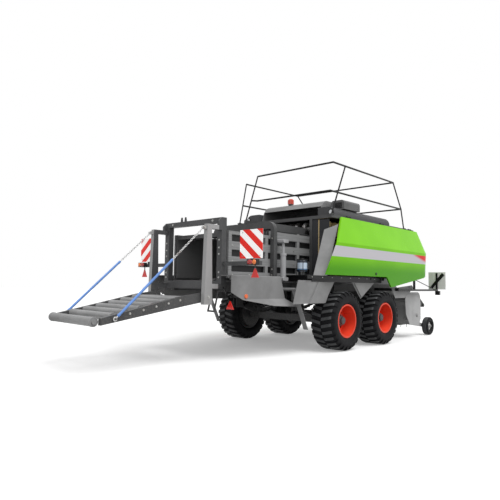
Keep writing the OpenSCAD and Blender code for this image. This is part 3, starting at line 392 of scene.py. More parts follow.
finishes = {
    "dark_frame": paint("dark_frame_paint", (0.080, 0.081, 0.083), 0.40, 0.10),
    "mid_grey": paint("mid_grey_paint", (0.275, 0.277, 0.280), 0.42),
    "light_grey": paint("light_grey_paint", (0.268, 0.268, 0.270), 0.38, 0.05),
    "black_trim": paint("black_trim_paint", (0.009, 0.009, 0.010), 0.40, 0.04),
    "rim_red": paint("rim_red_paint", (0.98, 0.080, 0.036), 0.32, 0.02, dark_hub_shaded_inboard),
}
portal_paint = paint("portal_paint", (0.080, 0.081, 0.084), 0.40, 0.10, pale_posts_shaded_inner)
marker_paint = paint("marker_board_paint", (0.93, 0.93, 0.92), 0.45, 0.02)
hood_paint = paint("hood_paint", (0.235, 0.236, 0.237), 0.35, 0.03)
air_box_paint = paint("air_box_paint", (0.150, 0.150, 0.152), 0.40, 0.03)
pickup_paint = paint("pickup_paint", (0.40, 0.401, 0.403), 0.38, 0.06)
ram_paint = paint("press_ram_paint", (0.40, 0.40, 0.41), 0.34, 0.06)
print("paints:", sorted(finishes))

# %% [markdown]
# The chamber's walls are pressed sheet. Bales rub along them, so the paint is polished in long streaks that
# run along the machine. Stretching the noise along X gives those streaks. Inside the chamber the sheet is painted
# darker as painted shade, and between the pressed channels darker still, as painted shadow. The distance from the
# centre plane tells those parts apart.

# %% Rubbed chamber sheet with painted shade
CHANNEL_BACK_Y = 0.645
CHAMBER_IN_Y = 0.600


def rubbed_and_shaded_sheet(name, colour):
    """Painted sheet with streaks along the bale's way, and painted shade inside the chamber and between the channels.
    """
    material, shader, at = start(name)
    along = at.node("ShaderNodeMapping", None, {"Vector": at, "Scale": (0.6, 9.0, 34.0)})
    streak = along.noise(2.0, 5.0, 0.65)
    cloud = at.noise(3.0, 3.0)
    base = streak.ease(0.3, 0.7).mix(tint(colour, 0.78), tint(colour, 1.2))
    rust = (streak * cloud).ease(0.36, 0.5) * 0.25
    shown = rust.mix(base, rgb(0.16, 0.10, 0.06))
    # painted shade: darker sheet inside the chamber, and darker still, as painted shadow, in the gaps between channels
    out = abs(at.xyz()[1])
    inside = 1 - out.ease(CHANNEL_BACK_Y, CHANNEL_BACK_Y + 0.012)
    gap = out.ease(CHAMBER_IN_Y + 0.004, CHAMBER_IN_Y + 0.008)
    painted_shade = gap.mix(rgb(0.190, 0.190, 0.192), rgb(0.045, 0.045, 0.047))
    at.feed(shader.inputs["Base Color"], inside.mix(shown, painted_shade))
    at.feed(shader.inputs["Roughness"], 0.62 - streak * 0.28)
    at.feed(shader.inputs["Metallic"], streak.ease(0.5, 0.75) * 0.35)
    add_bump(shader, streak, 0.12, 0.002)
    return material


finishes["chamber_sheet"] = rubbed_and_shaded_sheet("chamber_sheet", (0.27, 0.272, 0.275))
print("chamber sheet ready")

# %% [markdown]
# The green side panels are glossy moulded skins. A pale stripe runs along each one just under the crease,
# from the rear edge to the front corner, where red fades in from its upper edge. The stripe is worked out
# from height and length alone, so it wraps round the front corner as the real film does. The hinge knuckles
# on the top edge are dark.

# %% Green panels with a bare pale stripe
STRIPE_LOW = 1.672
STRIPE_HIGH = 1.862
STRIPE_SOFT = 0.004
RED_START = TANDEM + 1.75
RED_FULL = TANDEM + 2.75
KNUCKLE_LOW = 2.4325
SKIN_SHEEN = 0.08


def green_skin(name, stripe):
    """Gloss green skin, darker low down as painted shade; stripe says whether the pale band is on it."""
    material, shader, at = start(name, coat_weight=0.03, coat_roughness=0.08)
    shader.inputs["Specular IOR Level"].default_value = SKIN_SHEEN
    along, height = at.xyz()[0::2]
    cloud = at.noise(1.1, 2.0)
    upper = cloud.ease(0.3, 0.7).mix(rgb(0.205, 0.610, 0.008), rgb(0.235, 0.670, 0.012))
    # painted shade: below the stripe the green darkens, where less light falls on the skin
    shaded_low = 1 - height.ease(STRIPE_LOW - 0.25, STRIPE_LOW + 0.05)
    green = (shaded_low * 0.9).mix(upper, rgb(0.072, 0.345, 0.004))
    knuckle = height > KNUCKLE_LOW
    green = knuckle.mix(green, rgb(0.02, 0.02, 0.022))
    if stripe:
        inside = height.ease(STRIPE_LOW - STRIPE_SOFT, STRIPE_LOW + STRIPE_SOFT)
        inside = inside * (1 - height.ease(STRIPE_HIGH - STRIPE_SOFT, STRIPE_HIGH + STRIPE_SOFT))
        reach = along.ease(RED_START, RED_FULL)
        depth = STRIPE_HIGH - reach * (STRIPE_HIGH - STRIPE_LOW) * 0.8
        blush = (height - depth).ease(-0.03, 0.05) * reach.ease(0.0, 0.25)
        film = blush.mix(rgb(0.64, 0.62, 0.66), rgb(0.82, 0.03, 0.03))
        green = inside.mix(green, film)
    at.feed(shader.inputs["Base Color"], green)
    dusty = at.noise(30.0, 2.0).ease(0.5, 0.8)
    at.feed(shader.inputs["Roughness"], dusty * 0.10 + 0.20)
    add_bump(shader, at.noise(1.7, 1.0), 0.10, 0.01)
    return material


finishes["green_panel"] = green_skin("green_panel_skin", True)
hood_skin = green_skin("green_hood_skin", False)
print("green skins ready")

# %% [markdown]
# Tyre rubber changes with the distance from the axle: smooth dusty side walls with fine moulded rings, and a
# blacker tread whose bar tops are lighter as a painted highlight. The small gauge wheels get the same rubber with a
# pale hub.

# %% Tyre rubber
RUBBER_SHEEN = 0.16


def rubber(name, centre_x, fold, centre_z, wall_from, wall_to, lug_from, hub):
    """Rubber with moulded rings on the side walls; hub is a radius below which the wheel is painted pale."""
    material, shader, at = start(name)
    shader.inputs["Specular IOR Level"].default_value = RUBBER_SHEEN
    radius = from_axle(at, centre_x, fold, centre_z)
    dust = at.noise(22.0, 4.0).ease(0.4, 0.8)
    wall = radius.ease(wall_from, wall_from + 0.02) * (1 - radius.ease(wall_to - 0.02, wall_to))
    # dust on the walls, plus a painted highlight on the tops of the tread bars
    dust_and_highlight = dust * 0.06 + wall * 0.02 + radius.ease(lug_from, lug_from + 0.006) * 0.9
    colour = dust_and_highlight.mix(rgb(0.004, 0.004, 0.005), rgb(0.080, 0.082, 0.085))
    if hub:
        colour = (radius < hub).mix(colour, rgb(0.72, 0.72, 0.70))
    at.feed(shader.inputs["Base Color"], colour)
    at.feed(shader.inputs["Roughness"], 0.62 + dust * 0.2 - dust_and_highlight * 0.3)
    rings = at.math("SINE", radius * 420.0) * wall
    grain = at.noise(180.0, 2.0)
    add_bump(shader, rings * 0.6 + grain * 0.4, 0.25, 0.003)
    return material


gauge_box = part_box("gauge_wheel_right")
gauge_x = (gauge_box[0].x + gauge_box[1].x) / 2
gauge_r = (gauge_box[1].z - gauge_box[0].z) / 2
finishes["tyre"] = rubber("road_tyre_rubber", TANDEM, AXLE_X, AXLE_Z, 0.31, 0.47, 0.512, 0.0)
gauge_rubber = rubber("gauge_tyre_rubber", gauge_x, 0.0, gauge_r, 0.12, 0.19, 0.208, 0.105)
print("rubber ready; gauge wheel radius", round(gauge_r, 3))

# %% [markdown]
# The warning boards carry red and white bars that slope down and outwards, mirrored on the two sides. Folding
# the board about the centre plane with an absolute value mirrors the bars for free. Fine cells in
# the gloss stand in for the retroreflective film, and a faint glow for the light that it sends straight back.

# %% Warning board film
board_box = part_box("warning_boards")
BOARD_BARS = 3.45
BAR_SLOPE = 1.22
BAR_SHIFT = 0.36
BOARD_GLOW = 0.28
FILM_CELLS = 900.0


def board_film(name):
    """Red and white diagonal bars on the rear face."""
    material, shader, at = start(name, coat_weight=0.06, emission_strength=BOARD_GLOW)
    along, across, height = at.xyz()
    slope = (abs(across) + height * BAR_SLOPE) * BOARD_BARS
    bar = at.math("FRACT", slope + BAR_SHIFT) > 0.5
    rear = 1 - along.ease(board_box[0].x + 0.006, board_box[0].x + 0.010)
    face = bar.mix(rgb(0.96, 0.96, 0.95), rgb(0.72, 0.018, 0.010))
    shown = rear.mix(grey(0.45), face)
    at.feed(shader.inputs["Base Color"], shown)
    at.feed(shader.inputs["Emission Color"], shown)
    cells = at.math("SINE", across * FILM_CELLS) * at.math("SINE", height * FILM_CELLS)
    at.feed(shader.inputs["Roughness"], cells * 0.08 + 0.36)
    add_bump(shader, cells, 0.04, 0.001)
    return material


finishes["board"] = board_film("board_film")
print("board film ready")

# %% [markdown]
# Lamps, the beacon and the grease bottle are clear mouldings. Ribbed bump inside a coloured gloss looks like a
# lens, and bands of colour by height part the beacon's dome from its black foot and the bottle's grease from
# its caps.

# %% Lenses, beacon and grease bottle
LENS_RIBS = 700.0


def lens(name, colour, glow=0.0):
    """A coloured moulded lens with fine ribs."""
    material, shader, at = start(name, roughness=0.12, coat_weight=0.8, emission_strength=glow)
    ribs = at.math("SINE", at.xyz()[1] * LENS_RIBS)
    at.feed(shader.inputs["Base Color"], at.noise(25.0, 2.0).mix(tint(colour, 0.7), rgb(*colour)))
    shader.inputs["Emission Color"].default_value = rgb(*colour)
    add_bump(shader, ribs, 0.2, 0.002)
    return material


def banded(name, bands, gloss, coat):
    """A moulding whose colour steps with height: bands is a list of (height, colour), lowest first."""
    material, shader, at = start(name, coat_weight=coat)
    height = at.xyz()[2]
    cloud = at.noise(20.0, 3.0)
    colour = bands[0][1]
    for step, tone in bands[1:]:
        colour = height.ease(step - 0.002, step + 0.002).mix(colour, tone)
    at.feed(shader.inputs["Base Color"], colour)
    at.feed(shader.inputs["Roughness"], cloud * 0.1 + gloss)
    return material


REFLECTOR_TOPS = (0.905, 1.395)
BETWEEN_REFLECTORS = 1.20
red_lens = lens("red_lens", (0.55, 0.012, 0.010))
amber_lens = lens("amber_lens", (0.95, 0.22, 0.015), 0.15)
white_lens = lens("white_lens", (0.85, 0.87, 0.9), 0.1)
finishes["lamp"] = red_lens
black_strip, red_glass = grey(0.012), rgb(0.80, 0.020, 0.014)
reflector_red = banded("reflector_red", [(0, red_glass), (REFLECTOR_TOPS[0], black_strip),
                                         (BETWEEN_REFLECTORS, red_glass), (REFLECTOR_TOPS[1], black_strip)], 0.15, 0.5)
beacon_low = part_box("beacon")[0]
finishes["beacon"] = banded("beacon_dome", [(0, grey(0.012)), (beacon_low.z + 0.024, rgb(0.62, 0.05, 0.02))],
                            0.12, 0.7)
bottle_low, bottle_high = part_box("grease_reservoir")
bottle_h = bottle_high.z - bottle_low.z
finishes["reservoir"] = banded("grease_bottle", [
    (0, rgb(0.02, 0.022, 0.025)), (bottle_low.z + 0.25 * bottle_h, rgb(0.10, 0.20, 0.36)),
    (bottle_low.z + 0.42 * bottle_h, rgb(0.62, 0.74, 0.88)), (bottle_low.z + 0.80 * bottle_h, rgb(0.05, 0.06, 0.08))],
    0.14, 0.6)
print("lenses ready; bottle height", round(bottle_h, 3))

# %% [markdown]
# Bare steel shows rub marks that are drawn out one way, with a little rust between them. Dark plastic and the blue
# sleeve on the chains are moulded, with the leathery grain that cell noise gives.

# %% Worn steel and moulded plastic
def worn_steel(name, colour, stretch):
    """Bare steel with rub marks drawn out along one direction."""
    material, shader, at = start(name, metallic=0.85)
    drawn = at.node("ShaderNodeMapping", None, {"Vector": at, "Scale": stretch})
    scratch = drawn.noise(6.0, 4.0)
    stain = at.noise(9.0, 3.0).ease(0.52, 0.72) * 0.45
    bright = scratch.mix(tint(colour, 0.75), rgb(*colour))
    at.feed(shader.inputs["Base Color"], stain.mix(bright, rgb(0.14, 0.08, 0.05)))
    at.feed(shader.inputs["Roughness"], stain * 0.4 + scratch * 0.2 + 0.25)
    add_bump(shader, scratch, 0.1, 0.001)
    return material


def moulded(name, colour, gloss, grain):
    """Moulded plastic with a leathery grain."""
    material, shader, at = start(name)
    cells = at.node("ShaderNodeTexVoronoi", None, {"Vector": at, "Scale": grain})
    cloud = at.noise(4.0, 3.0)
    at.feed(shader.inputs["Base Color"], cloud.mix(tint(colour, 0.8), tint(colour, 1.2)))
    at.feed(shader.inputs["Roughness"], cloud * 0.15 + gloss)
    add_bump(shader, cells, 0.12, 0.002)
    return material


finishes["bare_steel"] = worn_steel("worn_steel", (0.46, 0.46, 0.46), (1.0, 1.0, 8.0))
finishes["board_back"] = marker_paint
chain_steel = worn_steel("chain_steel", (0.60, 0.60, 0.60), (4.0, 4.0, 4.0))
finishes["dark_plastic"] = moulded("dark_plastic", (0.075, 0.076, 0.08), 0.45, 260.0)
finishes["sleeve"] = moulded("blue_sleeve", (0.15, 0.30, 0.68), 0.40, 300.0)
print("steel and plastic ready")

# %% [markdown]
# Twine is wound on spools that stand on the racks' shelves. Racks and spools are one CAD node, so the shader finds
# the spools by folding a shelf into one spool's pitch and measuring the distance to the spool's axis.

# %% Twine on its shelves
rack_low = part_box("twine_racks")[0]
SPOOL_FIRST = 0.17
SPOOL_PITCH = 0.30
MIDDLE_GAP = 0.03
GAP_AFTER = 3.5 * SPOOL_PITCH
SPOOL_Y = 0.896
SPOOL_R = 0.1305
SHELF_PITCH = 0.36
SHELF_TOP = 0.0055


def twine_on_shelves(name):
    """Wound twine where the spools stand, dark sheet elsewhere."""
    material, shader, at = start(name, roughness=0.85)
    along, across, height = at.xyz()
    wound = at.node("ShaderNodeTexWave", {"bands_direction": "Z"}, {"Vector": at, "Scale": 60.0, "Distortion": 2.0})
    yarn = wound.mix(rgb(0.42, 0.30, 0.13), rgb(0.72, 0.56, 0.30))
    reach = along - (rack_low.x + SPOOL_FIRST)
    reach = reach - (reach > GAP_AFTER) * MIDDLE_GAP
    off_x = (at.math("FRACT", reach / SPOOL_PITCH + 0.5) - 0.5) * SPOOL_PITCH
    off_y = abs(across) - SPOOL_Y
    spool = off_x.hypot(off_y) < SPOOL_R
    above = at.math("FRACT", (height - rack_low.z) / SHELF_PITCH) * SHELF_PITCH > SHELF_TOP
    at.feed(shader.inputs["Base Color"], (spool * above).mix(rgb(0.045, 0.046, 0.05), yarn))
    add_bump(shader, wound, 0.4, 0.004)
    return material


finishes["twine"] = twine_on_shelves("twine_on_shelves")
print("finishes:", len(finishes))

# %% [markdown]
# Each CAD node takes the finish of its slot in the record. A few nodes share a slot but need a finish of
# their own: the front hood has no stripe, the gauge wheels have a pale hub, the portal has paler chain posts with
# painted shade on their inner faces, and the press rams, the hood, the air box and the pickup have greys of their own.

# %% Dress the CAD nodes
own_finish = {"front_hood": hood_skin, "gauge_wheel_left": gauge_rubber, "gauge_wheel_right": gauge_rubber,
              "rear_frame": portal_paint, "density_cylinders": ram_paint, "knotter_hood": hood_paint,
              "air_box": air_box_paint, "pickup_frame": pickup_paint, "reflectors": reflector_red}
for part in frame["record"]["subparts"]:
    mesh = frame["nodes"][part["node"]].data
    mesh.materials.clear()
    mesh.materials.append(own_finish.get(part["node"], finishes[part["material_slot"]]))

# %% [markdown]
# New pieces all go through the same last step: doubles are merged, normals point outwards, the mesh becomes an
# object at the origin, and the piece is told which CAD body carries it.

# %% Finishing a piece
def finish_piece(name, bm, material, body, sharp=40):
    """Closes a bmesh into a named object that rides on a CAD body; body None leaves it on no body."""
    bmesh.ops.remove_doubles(bm, verts=bm.verts, dist=1e-5)
    bmesh.ops.recalc_face_normals(bm, faces=bm.faces)
    mesh = bpy.data.meshes.new(name)
    bm.to_mesh(mesh)
    bm.free()
    mesh.polygons.foreach_set("use_smooth", [True] * len(mesh.polygons))
    mesh.set_sharp_from_angle(angle=radians(sharp))
    mesh.materials.append(material)
    piece = bpy.data.objects.new(name, mesh)
    scene.collection.objects.link(piece)
    if body:
        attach(piece, body)
    print(name, len(mesh.polygons), "faces")
    return piece


# %% [markdown]
# Most small hardware is round: rods between two points, and shapes turned from an outline as on a lathe. Both are
# made where they belong, by a matrix that points its Z axis along the part.

# %% Rods and turned shapes
def pointing(place, axis):
    """A matrix that puts +Z along axis at a place."""
    return Matrix.Translation(place) @ Vector(axis).to_track_quat("Z", "Y").to_matrix().to_4x4()


def add_rod(bm, first, second, radius, segments=16):
    """A round rod between two points."""
    first, second = Vector(first), Vector(second)
    matrix = pointing((first + second) / 2, second - first)
    bmesh.ops.create_cone(bm, cap_ends=True, segments=segments, radius1=radius, radius2=radius,
                          depth=(second - first).length, matrix=matrix)


def add_turned(bm, outline, place, axis, steps=24):
    """A shape turned round an axis from an outline of (radius, height) points."""
    matrix = pointing(place, axis)
    verts = [bm.verts.new(matrix @ Vector((r, 0, h))) for r, h in outline]
    edges = [bm.edges.new(pair) for pair in zip(verts, verts[1:])]
    bmesh.ops.spin(bm, geom=verts + edges, cent=place, axis=matrix.to_3x3() @ Vector((0, 0, 1)),
                   angle=2 * pi, steps=steps, use_merge=True)


tip = pointing((0, 0, 0), (1, 0, 0)) @ Vector((0, 0, 1))
print("a part laid along X ends at", [round(c, 3) for c in tip])

# %% [markdown]
# A chain link is a torus whose two halves are pulled apart, which leaves straight sides between the round ends. A
# flat eye at each end of the chain takes a pin.

# %% A chain link and an eye
EYE_R = 0.028
EYE_BORE = 0.0135
LINK_WIRE = 0.0045
LINK_R = 0.012
LINK_PULL = 0.009
LINK_STEP = 2 * (LINK_R + LINK_PULL) - 2 * LINK_WIRE


def link_mesh(bm, matrix):
    """One chain link along the matrix's Z, at its origin."""
    wire = bmesh.ops.create_circle(bm, cap_ends=False, radius=LINK_WIRE, segments=6,
                                   matrix=Matrix.Translation((LINK_R, 0, 0)) @ Matrix.Rotation(pi / 2, 4, "X"))["verts"]
    edges = list({e for v in wire for e in v.link_edges})
    before = set(bm.verts) - set(wire)
    bmesh.ops.spin(bm, geom=wire + edges, cent=(0, 0, 0), axis=(0, 0, 1), angle=2 * pi, steps=12, use_merge=True)
    made = [v for v in bm.verts if v not in before]
    for side in (-1, 1):
        half = [v for v in made if v.co.x * side > 1e-6]
        bmesh.ops.translate(bm, vec=(side * LINK_PULL, 0, 0), verts=half)
    bmesh.ops.rotate(bm, cent=(0, 0, 0), matrix=Matrix.Rotation(pi / 2, 3, "Y"), verts=made)
    bmesh.ops.transform(bm, matrix=matrix, verts=made)


def eye_ring(bm, place):
    """The flat eye that a pin goes through."""
    outline = [(EYE_BORE, -0.007), (EYE_R - 0.002, -0.008), (EYE_R, -0.006), (EYE_R, 0.006),
               (EYE_R - 0.002, 0.008), (EYE_BORE, 0.007), (EYE_BORE, -0.007)]
    add_turned(bm, outline, place, (0, 1, 0))


print("each link adds", round(LINK_STEP, 4), "m")

# %% [markdown]
# Two chains hold the lowered chute. The upper part of each is bare link chain, with every second link turned a
# quarter, and the lower part runs in a blue sleeve with a cuff at each end.

# %% Chains and sleeves
chains_low, chains_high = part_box("chains")
CHAIN_Y = 0.68
BARE_SHARE = 0.40
SLEEVE_R = 0.017
SLEEVE_BORE = 0.006
CUFF = 0.045
CUFF_RISE = 0.002
RIPPLES = 22
RIPPLE_RISE = 0.0012
for side_name, side in SIDES.items():
    top = Vector((chains_high.x - EYE_R, side * CHAIN_Y, chains_high.z - EYE_R))
    low = Vector((chains_low.x + EYE_R, side * CHAIN_Y, chains_low.z + EYE_R))
    way = (low - top).normalized()
    links = bmesh.new()
    eye_ring(links, top)
    eye_ring(links, low)
    count = int(((low - top).length * BARE_SHARE - EYE_R) / LINK_STEP)
    for k in range(count):
        place = top + way * (EYE_R + LINK_STEP * (k + 0.4))
        link_mesh(links, pointing(place, way) @ Matrix.Rotation(k * pi / 2, 4, "Z"))
    add_rod(links, low - way * 0.075, low - way * (EYE_R - 0.004), 0.009)
    chain = finish_piece(f"chute_chain_{side_name}", links, chain_steel, None, 60)
    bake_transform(chain)
    sleeve = bmesh.new()
    sleeve_top = top + way * (EYE_R + LINK_STEP * count)
    sleeve_low = low - way * 0.05
    run = (sleeve_low - sleeve_top).length
    cuff = [(SLEEVE_BORE, 0.0), (SLEEVE_R, 0.0), (SLEEVE_R + CUFF_RISE, 0.008), (SLEEVE_R + CUFF_RISE, 0.035),
            (SLEEVE_R, CUFF)]
    ripples = [(SLEEVE_R + RIPPLE_RISE * (k % 2), CUFF + (run - 2 * CUFF) * (k + 1) / RIPPLES)
               for k in range(RIPPLES - 1)]
    outline = cuff + ripples + [(radius, run - height) for radius, height in reversed(cuff)]
    add_turned(sleeve, outline, sleeve_top, way)
    cover = finish_piece(f"chute_sleeve_{side_name}", sleeve, finishes["sleeve"], None)
    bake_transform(cover)
    if side_name == "right":
        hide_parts("chains")
print("chains", count, "links each")

# %% [markdown]
# Under each warning board sits a lamp: a red tail lens inboard and a round amber turn lens outboard, in a dark
# housing that the CAD gives. Both lenses are turned domes, and the red one is stretched sideways.

# %% Lamp lenses
lamp_low, lamp_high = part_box("rear_lamps")
LAMP_IN_Y = lamp_high.y - 0.188
LAMP_Z = (lamp_low.z + lamp_high.z) / 2
DOME = [(0.0, 0.030), (0.016, 0.028), (0.028, 0.020), (0.034, 0.009), (0.036, 0.0), (0.0, 0.0)]
for side_name, side in SIDES.items():
    for lens_name, reach, stretch, glass in (("tail", 0.060, 1.5, red_lens), ("turn", 0.148, 1.0, amber_lens)):
        dome = bmesh.new()
        middle = Vector((lamp_low.x, side * (LAMP_IN_Y + reach), LAMP_Z))
        add_turned(dome, DOME, Vector((0, 0, 0)), (-1, 0, 0))
        bmesh.ops.scale(dome, vec=(0.6, stretch, 1.0), verts=dome.verts)
        bmesh.ops.translate(dome, vec=middle, verts=dome.verts)
        finish_piece(f"{lens_name}_lens_{side_name}", dome, glass, "root")
lamp_case = moulded("lamp_case", (0.02, 0.02, 0.022), 0.4, 200.0)
frame["nodes"]["rear_lamps"].data.materials[0] = lamp_case
print("lamps at", round(LAMP_Z, 3))

# %% [markdown]
# The bale leaves over a bed of rollers between the chute's two beams, with a thicker roller at the very end. The
# CAD has flat slats at these places, so this piece replaces them. A roller is a turned tube with a shoulder at each
# end and a journal that runs in the beam. A flat sheet bridges the gap at the hinge.

# %% Rollers of the chute
CHUTE_BEND = (-3.8, 0.93)
CHUTE_SLOPE = 0.19438
CHUTE_OUT_Y = 0.630
ROLLER_X = [-3.865 - 0.205 * k for k in range(6)]
ROLLER_R = 0.055
ROLLER_HALF = 0.566
bed_low, bed_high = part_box("chute_rollers")
END_R = 0.063
END_HALF = bed_high.y


def soften(bm, corners, offset, segments):
    """Bevels every edge that meets these corners."""
    edges = list({e for v in corners for e in v.link_edges})
    bmesh.ops.bevel(bm, geom=edges, offset=offset, offset_type="OFFSET", segments=segments, profile=0.5,
                    affect="EDGES", material=-1)


def add_block(bm, low, high, bevel):
    """A box between two corners with softened edges."""
    low, high = Vector(low), Vector(high)
    made = bmesh.ops.create_cube(bm, size=1.0)["verts"]
    bmesh.ops.scale(bm, vec=high - low, verts=made)
    bmesh.ops.translate(bm, vec=(low + high) / 2, verts=made)
    soften(bm, made, bevel, 2)


def chute_middle(along):
    """Height of the chute beam's middle at a place along it."""
    return CHUTE_BEND[1] + (along - CHUTE_BEND[0]) * CHUTE_SLOPE


def add_roller(bm, place, radius, half):
    """A roller across the machine, from shoulder to shoulder, with its journals."""
    outline = [(0.0, -half), (radius * 0.5, -half), (radius * 0.5, 0.018 - half), (radius - 0.004, 0.018 - half),
               (radius, 0.022 - half), (radius, 0.060 - half), (radius - 0.003, 0.064 - half)]
    outline += [(r, -h) for r, h in reversed(outline)]
    add_turned(bm, outline, place, (0, 1, 0), 32)


bed = bmesh.new()
for x in ROLLER_X:
    add_roller(bed, here(x, 0.0, chute_middle(x)), ROLLER_R, ROLLER_HALF)
add_roller(bed, Vector((bed_low.x + END_R, 0.0, bed_low.z + END_R)), END_R, END_HALF)
add_block(bed, here(-3.79, -ROLLER_HALF, 0.955), here(-3.53, ROLLER_HALF, 0.967), 0.004)
rollers = finish_piece("bale_rollers", bed, finishes["mid_grey"], "chute")
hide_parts("chute_rollers")

# %% [markdown]
# Bolts and pins hold the real machine together, and they give the eye its scale. All of them are the same
# hexagon head on a washer, so one table lists where they stand: the body they ride on, the way they point, their
# size and their places on the left side. A loop makes both sides and joins the heads of a body into one piece.

# %% Bolts and pin heads
zinc = worn_steel("zinc_bolts", (0.55, 0.55, 0.53), (3.0, 3.0, 3.0))
OUT, BACK, AHEAD = (0, 1, 0), (-1, 0, 0), (1, 0, 0)
WALL_OUT_Y = 0.690
REEL_X, REEL_Z = 2.62, 0.5
PICKUP_OUT_Y = 1.205
STUDS, STUD_R, STUD_Y = 10, 0.167, 1.185


def on_side(side, point):
    """A place or direction given for the left side, on the side asked for."""
    return (point[0], side * point[1], point[2])


def ring(count, radius, first=0.0):
    """Evenly spaced points round a circle, as pairs of offsets."""
    turns = [first + 2 * pi * k / count for k in range(count)]
    return [(radius * cos(turn), radius * sin(turn)) for turn in turns]


def add_bolt(bm, place, axis, size):
    """A hexagon bolt head on a washer, standing on place."""
    axis = Vector(axis).normalized()
    place = Vector(place)
    washer = pointing(place + axis * size * 0.08, axis)
    bmesh.ops.create_cone(bm, cap_ends=True, segments=16, radius1=size * 0.95, radius2=size * 0.95,
                          depth=size * 0.16, matrix=washer)
    head = pointing(place + axis * size * 0.45, axis)
    bmesh.ops.create_cone(bm, cap_ends=True, segments=6, radius1=size * 0.72, radius2=size * 0.66,
                          depth=size * 0.6, matrix=head)


bolt_rows = [
    ("chute", OUT, 0.017, [(x, CHUTE_OUT_Y, chute_middle(x)) for x in ROLLER_X]),
    ("root", OUT, 0.026, [(-3.41, 0.72, 0.96), (-3.50, 0.702, 2.0)]),
    ("root", BACK, 0.016, [(-3.16, 0.665, z) for z in (1.26, 1.34, 1.62, 1.72, 1.84)]),
    ("root", BACK, 0.020, [(-3.16, 0.505, 2.15)]),
    ("root", BACK, 0.010, [(-3.111, y, z) for y in (1.12, 1.47) for z in (1.58, 1.925)]),
    ("root", OUT, 0.014, [(x, WALL_OUT_Y, z) for x in (-2.9, -2.5, -1.35) for z in (1.310, 1.529, 1.770)]),
    ("root", BACK, 0.018, [(-1.99, 0.73, z) for z in (1.32, 1.42, 1.95)]),
    ("root", OUT, 0.010, [(-1.6 + 0.3 * k, 1.29, 1.30) for k in range(9)]),
    ("root", AHEAD, 0.012, [(4.58, 0.046, z) for z in (0.62, 0.68)]),
    ("pickup", OUT, 0.012, [(REEL_X + 0.06 * cos(turn), PICKUP_OUT_Y, REEL_Z + 0.06 * sin(turn))
                            for turn in (0.8, 2.4, 3.9, 5.5)]),
]
for end_name, end in (("front", AXLE_X), ("rear", -AXLE_X)):
    studs = [(end + ahead_by, STUD_Y, AXLE_Z + rise) for ahead_by, rise in ring(STUDS, STUD_R)]
    bolt_rows.append((f"wheel_{end_name}", OUT, 0.017, studs))
heads = {}
for body, axis, size, places in bolt_rows:
    for side_name, side in SIDES.items():
        carrier = f"{body}_{side_name}" if body.startswith("wheel") else body
        if carrier not in heads:
            heads[carrier] = bmesh.new()
        for place in places:
            add_bolt(heads[carrier], here(*on_side(side, place)), on_side(side, axis), size)
for carrier, bm in heads.items():
    finish_piece(f"bolts_{carrier}", bm, zinc, carrier, 30)

# %% [markdown]
# Many small fittings are turned shapes: hub caps, bearing flanges, marker and work lamps, latches, end caps and the
# grip of the jack's crank. A row of the table gives the body, the finish, the outline that is spun and its place.

# %% Turned fittings
def cap(radius, height):
    """The outline of a flat cap with an eased rim."""
    ease = min(radius, height) * 0.35
    return [(0.0, height), (radius - ease, height), (radius, height - ease), (radius, 0.0), (0.0, 0.0)]


HOUSING = [(0.0, 0.010), (0.040, 0.010), (0.043, 0.018), (0.047, 0.018), (0.048, 0.004), (0.042, 0.0), (0.0, 0.0)]
BEARING = [(0.0, 0.022), (0.022, 0.022), (0.030, 0.014), (0.040, 0.010), (0.046, 0.003), (0.046, 0.0), (0.0, 0.0)]
HUB = [(0.0, 0.105), (0.050, 0.105), (0.066, 0.098), (0.070, 0.070), (0.088, 0.062), (0.096, 0.050), (0.098, 0.0),
       (0.0, 0.0)]
GRIP = [(0.0, 0.066), (0.010, 0.065), (0.015, 0.060), (0.016, 0.035), (0.013, 0.006), (0.010, 0.0), (0.0, 0.0)]
black = finishes["black_trim"]
amber_marker = lens("side_marker", (0.90, 0.14, 0.01), 0.1)
primer = finishes["dark_frame"]
turned_rows = [
    ("hub_cap", "wheel_front", primer, "dark_frame", HUB, (AXLE_X, WHEEL_Y + 0.035, AXLE_Z), OUT),
    ("hub_cap", "wheel_rear", primer, "dark_frame", HUB, (-AXLE_X, WHEEL_Y + 0.035, AXLE_Z), OUT),
    ("side_marker", "root", amber_marker, "lamp", cap(0.034, 0.016), (-2.852, 0.958, 0.975), OUT),
    ("work_lamp_case", "root", black, "black_trim", HOUSING, (-0.70, 1.060, 2.532), BACK),
    ("work_lamp_glass", "root", white_lens, "lamp", cap(0.040, 0.006), (-0.710, 1.060, 2.532), BACK),
    ("panel_latch", "panel", black, "black_trim", cap(0.026, 0.012), (0.314, 1.427, 1.399), OUT),
    ("ledge_latch", "root", black, "black_trim", cap(0.022, 0.014), (0.368, 1.290, 1.300), OUT),
    ("reel_bearing", "pickup", finishes["mid_grey"], "mid_grey", BEARING, (REEL_X, PICKUP_OUT_Y, REEL_Z), OUT),
    ("windguard_cap", "pickup", black, "black_trim", cap(0.042, 0.012), (3.01, 1.19, 0.72), OUT),
    ("gauge_cap", "gauge", finishes["light_grey"], "light_grey", cap(0.032, 0.018), (3.33, 1.22, 0.214), OUT),
]
for name, body, material, slot, outline, place, axis in turned_rows:
    for side_name, side in SIDES.items():
        turned = bmesh.new()
        add_turned(turned, outline, here(*on_side(side, place)), on_side(side, axis))
        carrier = body if body in ("root", "pickup") else f"{body}_{side_name}"
        tag = carrier if body.startswith("wheel") else side_name
        finish_piece(f"{name}_{tag}", turned, material, carrier)
grip = bmesh.new()
add_turned(grip, GRIP, here(3.9, 0.365, 1.425), (0, 0, 1))
finish_piece("jack_grip", grip, black, "root")

# %% [markdown]
# The grease bottle stands in a cage: four wires with two hoops round them, and a filler cap on top. The wires
# are rods. The hoops are thin rings spun round the bottle's axis.

